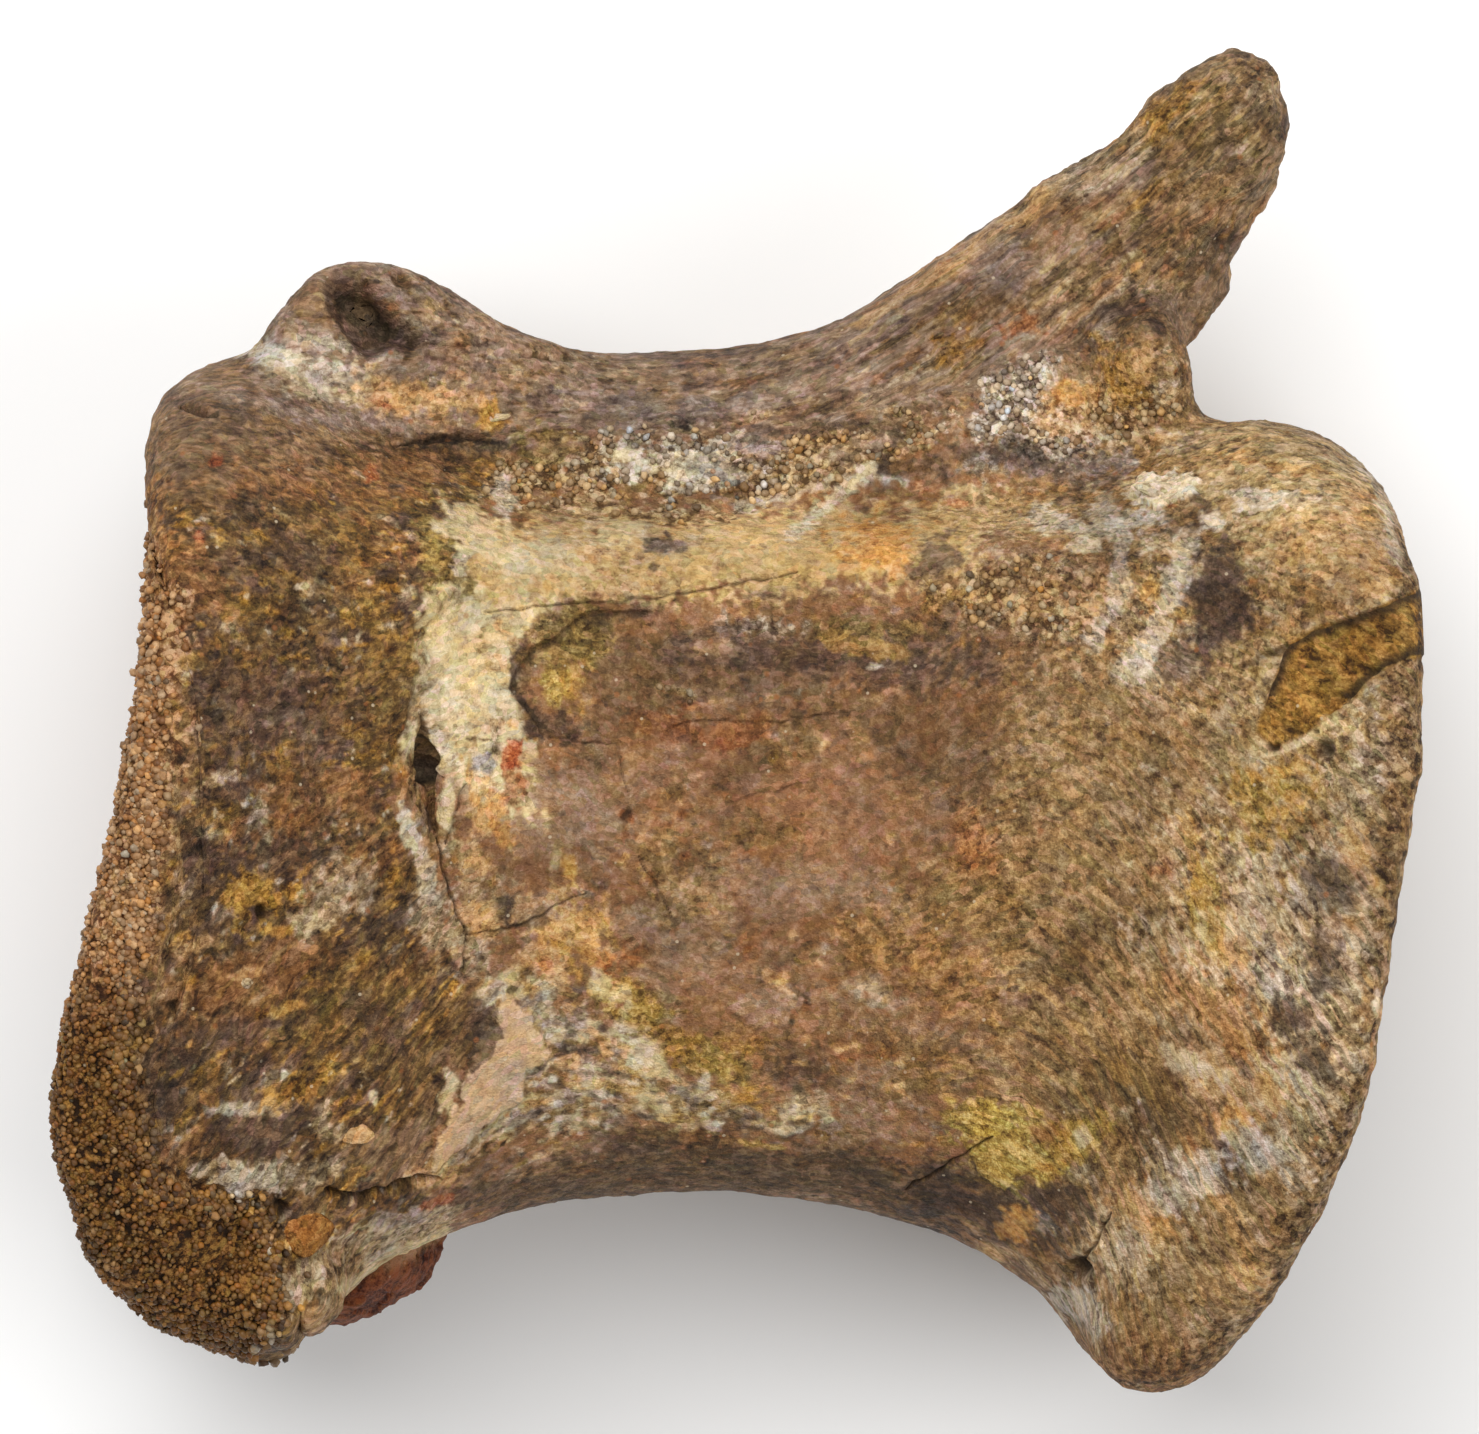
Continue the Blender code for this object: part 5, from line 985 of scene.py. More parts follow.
def boneFinish(p, normals, upper, waver, zone, fibre):
    # the finish of each point: large zones first, then their clouds, then each patch laid over them by its share
    flare, band, arch, spine = zone
    finish = np.tile(finishRow("redBrown"), (len(p), 1)).astype(np.float32)

    def lay(share, name):
        some = share > 0.002
        finish[some] += (finishRow(name) - finish[some]) * share[some, None]

    rear = ramp(p[:, 0] + waver[0], 14.0, 26.0) * (1.0 - arch)
    lay(rear * 0.9, "rightBrown")
    lay(flare, "umber")
    lay(arch, "archMauve")
    lay(spine, "spineTan")
    lay(band, "cream")
    shares = {"flare": flare, "rear": rear, "arch": arch * (1.0 - spine), "spine": spine, "band": band,
              "body": (1.0 - flare) * (1.0 - rear) * (1.0 - arch) * (1.0 - band)}

    def clouded(kinds, whole, seed):
        some = whole > 0.01
        own = [part[some] for part in fibre]
        for k, (name, (along, across), start, strength) in enumerate(kinds):
            cloud = (alongFibres(own, (along, across, across), seed + k) + 0.3 * waver[5][some]
                     + (0.3 - 0.6 * (k % 2)) * waver[4][some])
            share = np.zeros(len(p))
            share[some] = whole[some] * strength * ramp(cloud, start, start + 0.26)
            lay(share, name)

    for i, (place, whole) in enumerate(shares.items()):
        clouded(zoneClouds[place], whole, 200 + 10 * i)
    for name, patch in ((name, patch) for name, *group in bonePatches for patch in group):
        *place, strength, ragged = patch
        points, *halves = place if len(place) == 2 else ((tuple(place[:2]),), *place[2:4])
        reach = 1.6 * max(halves) + 0.8
        low, high = np.min(points, axis=0) - reach, np.max(points, axis=0) + reach
        own = np.flatnonzero((p[:, 0] > low[0]) & (p[:, 0] < high[0]) & (p[:, 1] > low[1]) & (p[:, 1] < high[1]))
        coarse, fine = min(0.3 * min(halves), 1.2), min(0.35 * min(halves), 0.5)
        x = p[own, 0] + waver[0][own] * coarse + waver[2][own] * fine
        y = p[own, 1] + waver[1][own] * coarse + waver[3][own] * fine
        if len(halves) == 2:
            away = ovalAway(x, y, points[0], halves, place[4])
        else:
            away = lineAway(x, y, points)[0] / halves[0]
        broken = 1.0 - away + ragged * 0.6 * waver[4][own] + (0.2 + 0.5 * ragged) * waver[5][own]
        share = 0.92 * strength * ramp(broken, -0.08, 0.2 + 0.25 * ragged)
        some = share > 0.01
        own = own[some]
        finish[own] += (finishRow(name) - finish[own]) * share[some, None]
    mosaic = (upper * ramp(insideOf(p[:, 0] + 0.7 * waver[2], p[:, 1] + 0.7 * waver[3], mosaicOutline)
                           + 0.5 * waver[4], -0.4, 0.5))
    lay(0.5 * mosaic, "oliveBrown")
    clouded(zoneClouds["mosaic"], 0.9 * mosaic, 280)
    for outline, name, strength, rise in flakes:
        lay(strength * upper * ramp(insideOf(p[:, 0] + 0.5 * waver[2], p[:, 1] + 0.5 * waver[3], outline)
                                    + 0.25 * waver[5], -0.06, 0.09), name)
    end = ramp(normals[:, 0], 0.55, 0.8) * (1.0 - arch)
    lay(end * ramp(waver[4], -0.5, 0.3), "rightBrown")
    lay(end * ramp(noise(p, 3.5, 97), 0.0, 0.4), "pittedRim")
    nearCrust = lineAway(p[:, 0] + waver[2], p[:, 1] + waver[3], crustEdge)[0] - 1.2 * waver[4]
    lay(0.85 * (1.0 - ramp(nearCrust, 0.0, 3.0)) * (p[:, 1] > -17.0), "pinkSand")
    lay(0.8 * (1.0 - ramp(nearCrust, -0.5, 1.2)) * ramp(-p[:, 1] + waver[4], 15.5, 18.5), "crust")
    lay(upper * ramp(insideOf(p[:, 0] + 0.2 * waver[2], p[:, 1] + 0.2 * waver[3], chip["outline"]), -0.2, 0.2),
        "chipOchre")
    # each hollow's own finish inside it; the dark grey of the deepest cores adds painted shade to their colour
    for outline, depth, wall, paintedShade, name in hollows.values():
        lay(0.9 * upper * ramp(insideOf(p[:, 0], p[:, 1], outline) + 0.12 * waver[5], -0.15, 0.1 + 0.3 * wall), name)
    return finish


def sculptBone(p, upper, waver, zone, finish, fibre):
    # how far each point moves along its normal, how much painted shade darkens it in pores, cracks, steps, holes,
    # hollows and the chip, and whether it is a crest or a furrow, which also makes its colour lighter or darker
    x, y, z = p.T
    flare, band, arch, spine = zone
    streaks = finish[:, 9]
    furrows = (0.45 * alongFibres(fibre, (4.5, 1.3, 1.3), 11) + 0.4 * alongFibres(fibre, (2.2, 0.6, 0.6), 12)
               + 0.4 * alongFibres(fibre, (1.0, 0.26, 0.26), 14))
    ridges = 0.9 - 2.2 * np.abs(alongFibres(fibre, (5.0, 0.9, 0.9), 13))
    blobs = 0.6 * noise(p, 1.5, 23) + 0.5 * noise(p, 0.75, 24) + 0.45 * noise(p, 0.34, 25)
    rough = 0.35 + 0.65 * np.maximum.reduce([flare, ramp(x, 28.0, 36.0) * (1.0 - arch), 0.7 * spine])
    height = boneShape["lumps"] * layers(p, 14.0, 3, 1) + 0.14 * layers(p, 3.0, 2, 5)
    height += boneShape["fibres"] * rough * streaks * (0.75 * furrows + 0.25 * ridges)
    height += boneShape["grit"] * (0.4 + 0.6 * rough) * blobs
    height += spine * 0.4 * layers(p, 3.0, 3, 7) + 0.12 * arch * alongFibres(fibre, (7.0, 1.1, 1.1), 8)
    away, number = scattered(p + 0.25 * np.stack([waver[5], waver[2], waver[3]], 1), 0.85, 35)
    crumb = 0.6 - away
    calm = 1.0 - 0.6 * ramp(finish[:, 11], 0.35, 0.9)
    height += 0.13 * (0.45 + 0.55 * rough) * calm * crumb
    height -= 0.3 * band
    dome = np.full(len(p), 0.5)
    sandy = finish[:, 10] > 0.02
    dome[sandy] = np.sqrt(np.clip(1.0 - (scattered(p[sandy], 0.7, 33)[0] / 0.62) ** 2, 0.0, 1.0))
    height += boneShape["sand"] * finish[:, 10] * (dome - 0.5)
    warped = p + 0.3 * np.stack([waver[5], waver[2], waver[3]], 1)
    away, number = scattered(warped, 1.5, 31)
    size = 0.06 + 0.16 * number / 0.3
    open_ = np.clip(rough * (0.7 - 0.6 * arch + 0.5 * spine) * (1.0 - finish[:, 10]), 0.0, 1.0)
    pit = (1.0 - ramp(away, 0.4 * size, size + 0.06)) * (number < 0.3 * open_ * ramp(waver[4], -0.2, 0.6))
    height -= boneShape["pits"] * pit * size / 0.2
    # pores are darkened with painted shade
    dark = 0.7 * pit
    wobbleX, wobbleY = x + 0.2 * noise(p, 1.2, 61), y + 0.2 * noise(p, 1.2, 62)
    # cracks and clefts sink along their bed, and painted shade darkens the bed
    for points, half, rise, paintedShade in skinLines.values():
        away, along, side = lineAway(wobbleX, wobbleY, points)
        width = half * (0.45 + 0.55 * np.sin(np.pi * along)) * (0.8 + 0.4 * noise(p, 0.8, 63))
        bed = np.exp(-(away / np.maximum(width, 0.03)) ** 2)
        height += upper * rise * bed
        dark = np.maximum(dark, upper * paintedShade * (0.85 + 0.3 * waver[5]) * bed ** 1.6)
    for points, fall, back, paintedShade, half in skinSteps.values():
        away, along, side = lineAway(wobbleX, wobbleY, points)
        ends = ramp(along, 0.0, 0.06) * (1.0 - ramp(along, 0.94, 1.0))
        below = away * side
        height -= upper * fall * ends * ramp(below, -0.1, 0.14) * np.exp(-np.maximum(below, 0.0) / back)
        # a painted shadow along the foot of the step, on its lower side
        dark = np.maximum(dark, upper * paintedShade * ends * np.exp(-((below - 0.8 * half) / half) ** 2))
    for (holeX, holeY), radius, depth in skinHoles.values():
        away = np.hypot(wobbleX - holeX, wobbleY - holeY) / radius
        height -= upper * depth * np.exp(-away ** 4)
        # each hole is darkened with painted shade
        dark = np.maximum(dark, upper * 0.9 * np.exp(-away ** 4))
    for outline, name, strength, rise in flakes:
        inside = insideOf(x + 0.5 * waver[2], y + 0.5 * waver[3], outline) + 0.25 * waver[5]
        height += upper * rise * ramp(inside, -0.1, 0.15)
        # a thin painted shadow just outside the edge of each raised flake
        dark = np.maximum(dark, 0.5 * upper * np.exp(-((inside + 0.15) / 0.12) ** 2) * (rise > 0.0)
                          * ramp(waver[4], -0.2, 0.6))
    for outline, depth, wall, paintedShade, name in hollows.values():
        inside = insideOf(wobbleX, wobbleY, outline)
        height -= upper * depth * ramp(inside, -0.08, wall)
        # painted shade inside each hollow
        dark = np.maximum(dark, upper * paintedShade * ramp(inside, -0.06, 0.12 + 0.4 * wall)
                          * ramp(waver[5] + 0.5 * waver[4], -0.9, 0.1))
    inside = insideOf(wobbleX, wobbleY, chip["outline"])
    broken = upper * ramp(inside, -0.1, 0.15)
    splinters = (0.5 * noise(np.stack([x - 1.1 * y, 2.2 * y + x, z], 1), (6.0, 1.6, 3.0), 57)
                 + 0.22 * noise(p, 0.9, 58))
    floor = midPlane + chip["floor"] + chip["slopeX"] * (x - 38.8) + chip["slopeY"] * (y - 5.2) + splinters
    sunk = np.minimum(floor - z, 0.0)
    height = height * (1.0 - broken) + broken * np.maximum(sunk, -2.6)
    # the chip's floor is darkened in its low places with painted shade, and a painted shadow runs along the inside of
    # its upper lip
    dark = np.maximum(dark * (1.0 - broken), broken * 0.75 * ramp(-splinters, 0.05, 0.45))
    dark = np.maximum(dark, upper * 0.85 * ramp(inside, -0.05, 0.1) * (1.0 - ramp(inside, 0.25, 1.0)) * (y > 1.5))
    # crests, ridges and sand grains' tops pick the lighter colours, furrows and the gaps between grains the darker:
    # painted light and shade that follow the relief, over the bone's own streaked colour
    crest = (streaks * (0.42 * furrows + 0.15 * ridges) + (1.0 - 0.5 * streaks) * blobs
             + (0.35 + 0.35 * rough) * (number - 0.5) + 0.5 * (crumb - 0.1))
    crest *= (0.6 + 0.4 * rough) * calm
    return height, dark, crest + 1.2 * (dome - 0.55) * finish[:, 10]


def findJoint(skin, plate):
    # where the crust's plate meets the bone on the upper side: for each height y its x, and the level of the
    # skins left and right of it, taken from the points that face up, one to three millimetres away
    skinTop, plateTop = (points[(pointNormals(points, faces)[:, 2] > 0.3) & (points[:, 2] > midPlane - 4.0)]
                         for points, faces in (skin, plate))
    rows = []
    for y in np.arange(-44.0, 15.5, 0.5):
        plateRow, skinRow = (points[np.abs(points[:, 1] - y) < 0.6] for points in (plateTop, skinTop))
        if len(plateRow) < 8:
            continue
        x = plateRow[:, 0].max()
        left = plateRow[np.abs(plateRow[:, 0] - x + 1.6) < 0.5, 2]
        right = skinRow[np.abs(skinRow[:, 0] - x - 2.0) < 0.5, 2]
        if len(left) > 2 and len(right) > 2:
            rows.append((y, x, np.median(left), np.median(right)))
    rows = np.array(rows)
    for k in (1, 2, 3):
        rows[:, k] = np.convolve(np.pad(rows[:, k], 3, "edge"), np.ones(7) / 7.0, "valid")
    print("joint of crust and bone:", [[round(float(v), 1) for v in row] for row in rows[::12]])
    return rows


def levelled(p, lower):
    # the skin brought to one level over the joint, so that no groove shows between crust and bone
    rowY, rowX, left, right = joint.T
    x = p[:, 0] - np.interp(p[:, 1], rowY, rowX)
    level = (np.interp(p[:, 1], rowY, left) + np.interp(p[:, 1], rowY, right - left)
             * np.clip((x + 1.6) / 3.6, 0.0, 1.0) - lower)
    share = ((1.0 - ramp(np.abs(x - 0.1), 0.9, 1.7)) * ramp(p[:, 2] - level, -2.6, -1.6)
             * ramp(p[:, 1], rowY[0], rowY[0] + 1.5) * (1.0 - ramp(p[:, 1], rowY[-1] - 1.5, rowY[-1])))
    p = p.copy()
    p[:, 2] += (level - p[:, 2]) * share
    return p


# How close to the small features of the left side the bone's triangles are cut once more
nearby = {"line": 0.25, "step": 0.6, "outline": 0.5, "chip": 0.7}


def makeBone():
    p, faces = boneSkin
    normals = pointNormals(p, faces)
    middle = p[faces].mean(axis=1)
    faceUp = normals[faces, 2].mean(axis=1)
    p, normals, faces = finer(p, normals, faces, (faceUp > 0.2) & (middle[:, 2] > midPlane + 4.0))
    middle = p[faces].mean(axis=1)
    x, y, z = middle.T
    near = np.zeros(len(faces), bool)
    for points, half, *rest in skinLines.values():
        near |= lineAway(x, y, points)[0] < half + nearby["line"]
    for points, *rest in skinSteps.values():
        near |= lineAway(x, y, points)[0] < nearby["step"]
    for outline, *rest in (*flakes, *hollows.values()):
        near |= np.abs(insideOf(x, y, outline)) < nearby["outline"]
    near |= np.abs(insideOf(x, y, chip["outline"])) < nearby["chip"]
    faceUp = normals[faces, 2].mean(axis=1)
    p, normals, faces = finer(p, normals, faces, near & (z > midPlane + 8.0) & (faceUp > 0.1))
    p = levelled(p, 0.0)
    normals = pointNormals(p, faces)
    upper = ramp(p[:, 2], midPlane + 1.0, midPlane + 7.0) * ramp(normals[:, 2], -0.3, 0.1)
    print("bone: skin of", len(p), "points")
    waver = wavers(p, upper, normals)
    zone = zoneShares(p, waver)
    fibre = fibrePlaces(p)
    finish = boneFinish(p, normals, upper, waver, zone, fibre)
    height, dark, crest = sculptBone(p, upper, waver, zone, finish, fibre)
    shaped = p + normals * height[:, None]
    shaped[:, 2] = np.maximum(shaped[:, 2], 0.0)
    shapedNormals = pointNormals(shaped, faces)
    warmth = layers(p, 2.6, 3, 95)[:, None] * np.array([0.7, 0.1, -1.3])
    hue = 1.0 + 0.12 * warmth + 0.3 * layers(p, 9.0, 4, 98)[:, None]
    for k in (0, 3, 6):
        finish[:, k:k + 3] *= hue
    middle = shaped[faces].mean(axis=1)
    left, lower, front = middle[:, 2] > midPlane, middle[:, 1] < -2.0, middle[:, 0] < 3.0
    pieces = {"bone_left_upper_front": left & ~lower & front, "bone_left_upper_rear": left & ~lower & ~front,
              "bone_left_lower_front": left & lower & front, "bone_left_lower_rear": left & lower & ~front,
              "bone_right_upper": ~left & ~lower, "bone_right_lower": ~left & lower}
    for name, keep in pieces.items():
        used, own = partOf(faces, keep, len(p))
        piece = newPiece(name, shaped[used], own, shapedNormals[used])
        finishPoints(piece, finish[used], crest[used], dark[used], [part[used] for part in fibre])
        setPiece(piece, "vertebra", boneMaterial)
    return shaped, shapedNormals, faces, finish, upper


# Materials

class Nodes:
    # puts nodes into a material and joins them: an input is a number, a colour or another node's output
    def __init__(self, name):
        self.material = bpy.data.materials.new(name)
        self.material.use_nodes = True
        self.tree = self.material.node_tree
        self.shader = self.tree.nodes["Principled BSDF"]

    def add(self, kind, settings=None, **inputs):
        made = self.tree.nodes.new("ShaderNode" + kind)
        for key, value in (settings or {}).items():
            setattr(made, key, value)
        for key, value in inputs.items():
            self.join(made.inputs[int(key[1:]) if key[0] == "i" and key[1:].isdigit() else key], value)
        return made

    def join(self, socket, value):
        if isinstance(value, bpy.types.NodeSocket):
            self.tree.links.new(value, socket)
        else:
            socket.default_value = value

    def math(self, operation, a, b=0.0, c=0.0):
        return self.add("Math", {"operation": operation}, i0=a, i1=b, i2=c).outputs[0]

    def mix(self, share, a, b):
        made = self.add("Mix", {"data_type": "RGBA", "clamp_factor": True}, i0=share, i6=a, i7=b)
        return made.outputs[2]

    def span(self, value, low, high, toLow=0.0, toHigh=1.0):
        # low..high of a value spread over toLow..toHigh, and held there
        return self.add("MapRange", {}, i0=value, i1=low, i2=high, i3=toLow, i4=toHigh).outputs[0]

    def attribute(self, name):
        return self.add("Attribute", {"attribute_name": name})

    def stretched(self, vector, across):
        return self.add("VectorMath", {"operation": "MULTIPLY"}, i0=vector, i1=across).outputs[0]

    def parts(self, colour):
        return self.add("SeparateColor", {}, i0=colour).outputs

    def cells(self, vector, scale=1.0):
        return self.add("TexVoronoi", {}, Vector=vector, Scale=scale, Randomness=1.0)

    def noise(self, vector, scale, detail=2.0, roughness=0.55):
        return self.add("TexNoise", {}, Vector=vector, Scale=scale, Detail=detail, Roughness=roughness).outputs[0]


# Colours that the skin material mixes in, as amounts of light
# the crack colour is painted shade for cracks, pores, holes, hollows and the chip
# the pale fleck colour is partly a painted glint
skinMarks = {"fleck": (0.62, 0.5, 0.34, 1.0), "rust": (0.36, 0.12, 0.035, 1.0), "crack": (0.02, 0.012, 0.006, 1.0)}


def makeSkinMaterial(name, specksAndGlints, bumpHeight):
    # the painted dark, middle and light colour of each place, picked between by streaks along the fibres, blotches,
    # sand and furrows, so that furrows and the gaps between sand grains come out darker as painted shade; painted
    # shade darkens cracks and pores, and the same picks raise the fine relief
    n = Nodes(name)
    deep, tint, high = (n.attribute(name).outputs["Color"] for name in ("deepTint", "tint", "highTint"))
    crest, streaks, sandShare = n.parts(n.attribute("marks").outputs["Color"])
    dark, polish = n.parts(n.attribute("hollow").outputs["Color"])[:2]
    place = n.stretched(n.add("TexCoord").outputs["Object"], (1000.0, 1000.0, 1000.0))
    bend = n.add("TexNoise", {}, Vector=place, Scale=0.45, Detail=1.0).outputs[1]
    fibre = n.add("VectorMath", {"operation": "MULTIPLY_ADD"}, i0=bend, i1=(0.9, 0.9, 0.9),
                  i2=n.attribute("fibre").outputs["Vector"]).outputs[0]
    threads = n.cells(n.stretched(fibre, (1.2, 5.0, 5.0)))
    crumbs = n.cells(n.stretched(fibre, (1.7, 2.5, 2.5)))
    specks = n.cells(place, 4.4)
    threadShade, crumbShade, speckShade = (n.math("SUBTRACT", n.parts(cell.outputs["Color"])[0], 0.5)
                                           for cell in (threads, crumbs, specks))
    grainy = n.math("MULTIPLY_ADD", crumbShade, 0.42, n.math("MULTIPLY", speckShade, 0.4))
    grainy = n.math("MULTIPLY", grainy, n.span(streaks, 0.5, 1.0, 1.0, 0.55))
    streakNoise = n.span(n.noise(n.stretched(fibre, (0.7, 1.8, 1.8)), 1.0, 4.0, 0.72), 0.3, 0.7, -0.5, 0.5)
    streaky = n.math("MULTIPLY_ADD", threadShade, 0.42, streakNoise)
    blotches = n.noise(place, 1.4, 5.0, 0.7)
    grit = n.noise(place, 6.5, 2.0, 0.65)
    sandCells = n.cells(place, 1.75)
    # each sand cell is lighter in its middle and darker at its rim, which paints shade between the grains and also
    # feeds the bump
    grains = n.math("SUBTRACT", 0.6, sandCells.outputs["Distance"])
    grainTint = n.math("SUBTRACT", n.parts(sandCells.outputs["Color"])[0], 0.5)
    speckle = n.span(grit, 0.3, 0.7, -0.26, 0.26)
    blotchy = n.math("ADD", n.span(blotches, 0.3, 0.7, -0.55, 0.55), speckle)
    either = n.add("Mix", {"data_type": "FLOAT"}, i0=n.math("MULTIPLY", streaks, 0.85), i2=blotchy, i3=streaky)
    fine = n.math("ADD", either.outputs[0], grainy)
    fine = n.math("MULTIPLY", fine, n.span(polish, 0.1, 0.85, 1.12, 0.34))
    sandy = n.math("ADD", n.math("MULTIPLY", grainTint, 0.9), n.math("MULTIPLY", grains, 0.6))
    sandy = n.math("MULTIPLY", sandy, sandShare)
    pick = n.math("ADD", n.math("ADD", crest, fine), sandy)
    colour = n.mix(n.span(pick, 0.5, 1.05), n.mix(n.span(pick, -0.02, 0.5), deep, tint), high)
    hue = n.add("VectorMath", {"operation": "MULTIPLY_ADD"}, i0=crumbs.outputs["Color"], i1=(0.2, 0.1, 0.3),
                i2=(0.91, 0.95, 0.83)).outputs[0]
    colour = n.add("VectorMath", {"operation": "MULTIPLY"}, i0=colour, i1=hue).outputs[0]
    # pale flecks, partly pale specks of the stone and partly painted glints
    spots = n.cells(place, 1.1)
    away, chance = spots.outputs["Distance"], n.parts(spots.outputs["Color"])
    fleck = n.math("MULTIPLY", n.span(away, 0.16, 0.1), n.span(chance[1], 0.86, 0.9))
    colour = n.mix(n.math("MULTIPLY", fleck, specksAndGlints), colour, skinMarks["fleck"])
    rusty = n.math("MULTIPLY", n.span(away, 0.3, 0.16), n.span(chance[2], 0.93, 0.97))
    colour = n.mix(n.math("MULTIPLY", rusty, 0.5), colour, skinMarks["rust"])
    # painted shade in cracks, pores, holes, hollows and the chip
    colour = n.mix(dark, colour, skinMarks["crack"])
    n.join(n.shader.inputs["Base Color"], colour)
    rough = n.math("SUBTRACT", n.span(grit, 0.3, 0.7, 0.86, 0.66), n.math("MULTIPLY", polish, 0.3))
    n.join(n.shader.inputs["Roughness"], rough)
    n.shader.inputs["Specular IOR Level"].default_value = 0.2
    # the bump takes only the quick patterns, because it works out its height three times at each place
    fineRelief = n.math("MULTIPLY_ADD", streakNoise, n.span(streaks, 0.0, 1.0, 0.35, 0.95),
                        n.math("MULTIPLY", speckle, 1.6))
    bump = n.add("Bump", {}, Strength=0.6, Distance=bumpHeight, Height=n.math("ADD", fineRelief, sandy))
    n.join(n.shader.inputs["Normal"], bump.outputs[0])
    return n.material


def makeGrainMaterial():
    # sand grains: each grain's own colour, clouded a little inside, with a soft gloss
    n = Nodes("sandGrains")
    place = n.stretched(n.add("TexCoord").outputs["Object"], (1000.0, 1000.0, 1000.0))
    clouds = n.noise(place, 3.5, 2.0, 0.6)
    tint = n.attribute("tint").outputs["Color"]
    shaded = n.mix(n.span(clouds, 0.35, 0.65), n.attribute("deepTint").outputs["Color"], tint)
    n.join(n.shader.inputs["Base Color"], shaded)
    n.join(n.shader.inputs["Roughness"], n.span(clouds, 0.3, 0.7, 0.62, 0.4))
    n.shader.inputs["Specular IOR Level"].default_value = 0.35
    bump = n.add("Bump", {}, Strength=0.4, Distance=0.0001, Height=n.noise(place, 9.0, 2.0, 0.6))
    n.join(n.shader.inputs["Normal"], bump.outputs[0])
    return n.material


boneSkin = evenSkin("vertebra", boneShape["voxel"])
nearChip = ((boneSkin[0][:, 0] > 33.0) & (np.abs(boneSkin[0][:, 1] - 3.0) < 7.0)
            & (boneSkin[0][:, 2] > midPlane + 15.0))
boneSkin = relaxed(*boneSkin, boneShape["rounds"], 0.8 * nearChip), boneSkin[1]
crustSkin = evenSkin("sandstone_crust", crustShape["voxel"])
crustSkin = relaxed(*crustSkin, crustShape["rounds"]), crustSkin[1]
joint = findJoint(boneSkin, crustSkin)
boneMaterial = makeSkinMaterial("fossilBone", 0.6, 0.00022)
stoneMaterial = makeSkinMaterial("sandstone", 0.4, 0.00028)
grainMaterial = makeGrainMaterial()
bone = makeBone()


# Sandstone: the crust over the front face, the lump under it, their sand, and small stones set in the bone

# Sand by where it lies: spacing, smallest and largest grain, how often its form is split, how even its colour is
sand = {
    "crust": {"spacing": 0.50, "size": (0.11, 0.27), "form": 1, "even": 0.85},
    "front": {"spacing": 0.95, "size": (0.24, 0.42), "form": 0, "even": 0.75},
    "seam": {"size": (0.16, 0.36), "form": 1, "even": 0.3},
    "bone": {"spacing": 0.70, "size": (0.15, 0.33), "form": 1, "even": 0.5},
}
grainMarks = {"quartz": (190, 160, 120), "rust": (160, 104, 52), "deep": (0.72, 0.66, 0.58)}


def crustFinish(p):
    # rosy coarse sand above, brown below, with a wavering edge between them, and rusty and dark clouds
    finish = np.tile(finishRow("crust"), (len(p), 1))
    for share, name in ((ramp(p[:, 1] + 1.6 * layers(p, 5.0, 3, 110), -19.5, -15.5), "pinkSand"),
                        (0.55 * ramp(layers(p, 7.0, 3, 112), 0.25, 0.7), "rustBrown"),
                        (0.5 * ramp(layers(p, 5.0, 3, 114), 0.35, 0.8), "darkPurple"),
                        (0.45 * ramp(layers(p, 4.0, 3, 116), 0.4, 0.8), "amberSand")):
        finish += (finishRow(name) - finish) * share[:, None]
    finish[:, 10] = 1.0
    return finish


def boneBehind(p, waver):
    # how much of the bone's own skin shows behind the crust's edge, from 0 to 1
    away, along, side = lineAway(p[:, 0] + 0.5 * waver[2], p[:, 1] + 0.5 * waver[3], crustEdge)
    softness = 0.3 + 1.7 * ramp(p[:, 1], -19.0, -15.0)
    return ramp(-away * side / softness + 0.5 * waver[4], -0.3, 0.9) * ramp(p[:, 2], midPlane - 3.0, midPlane + 2.0)


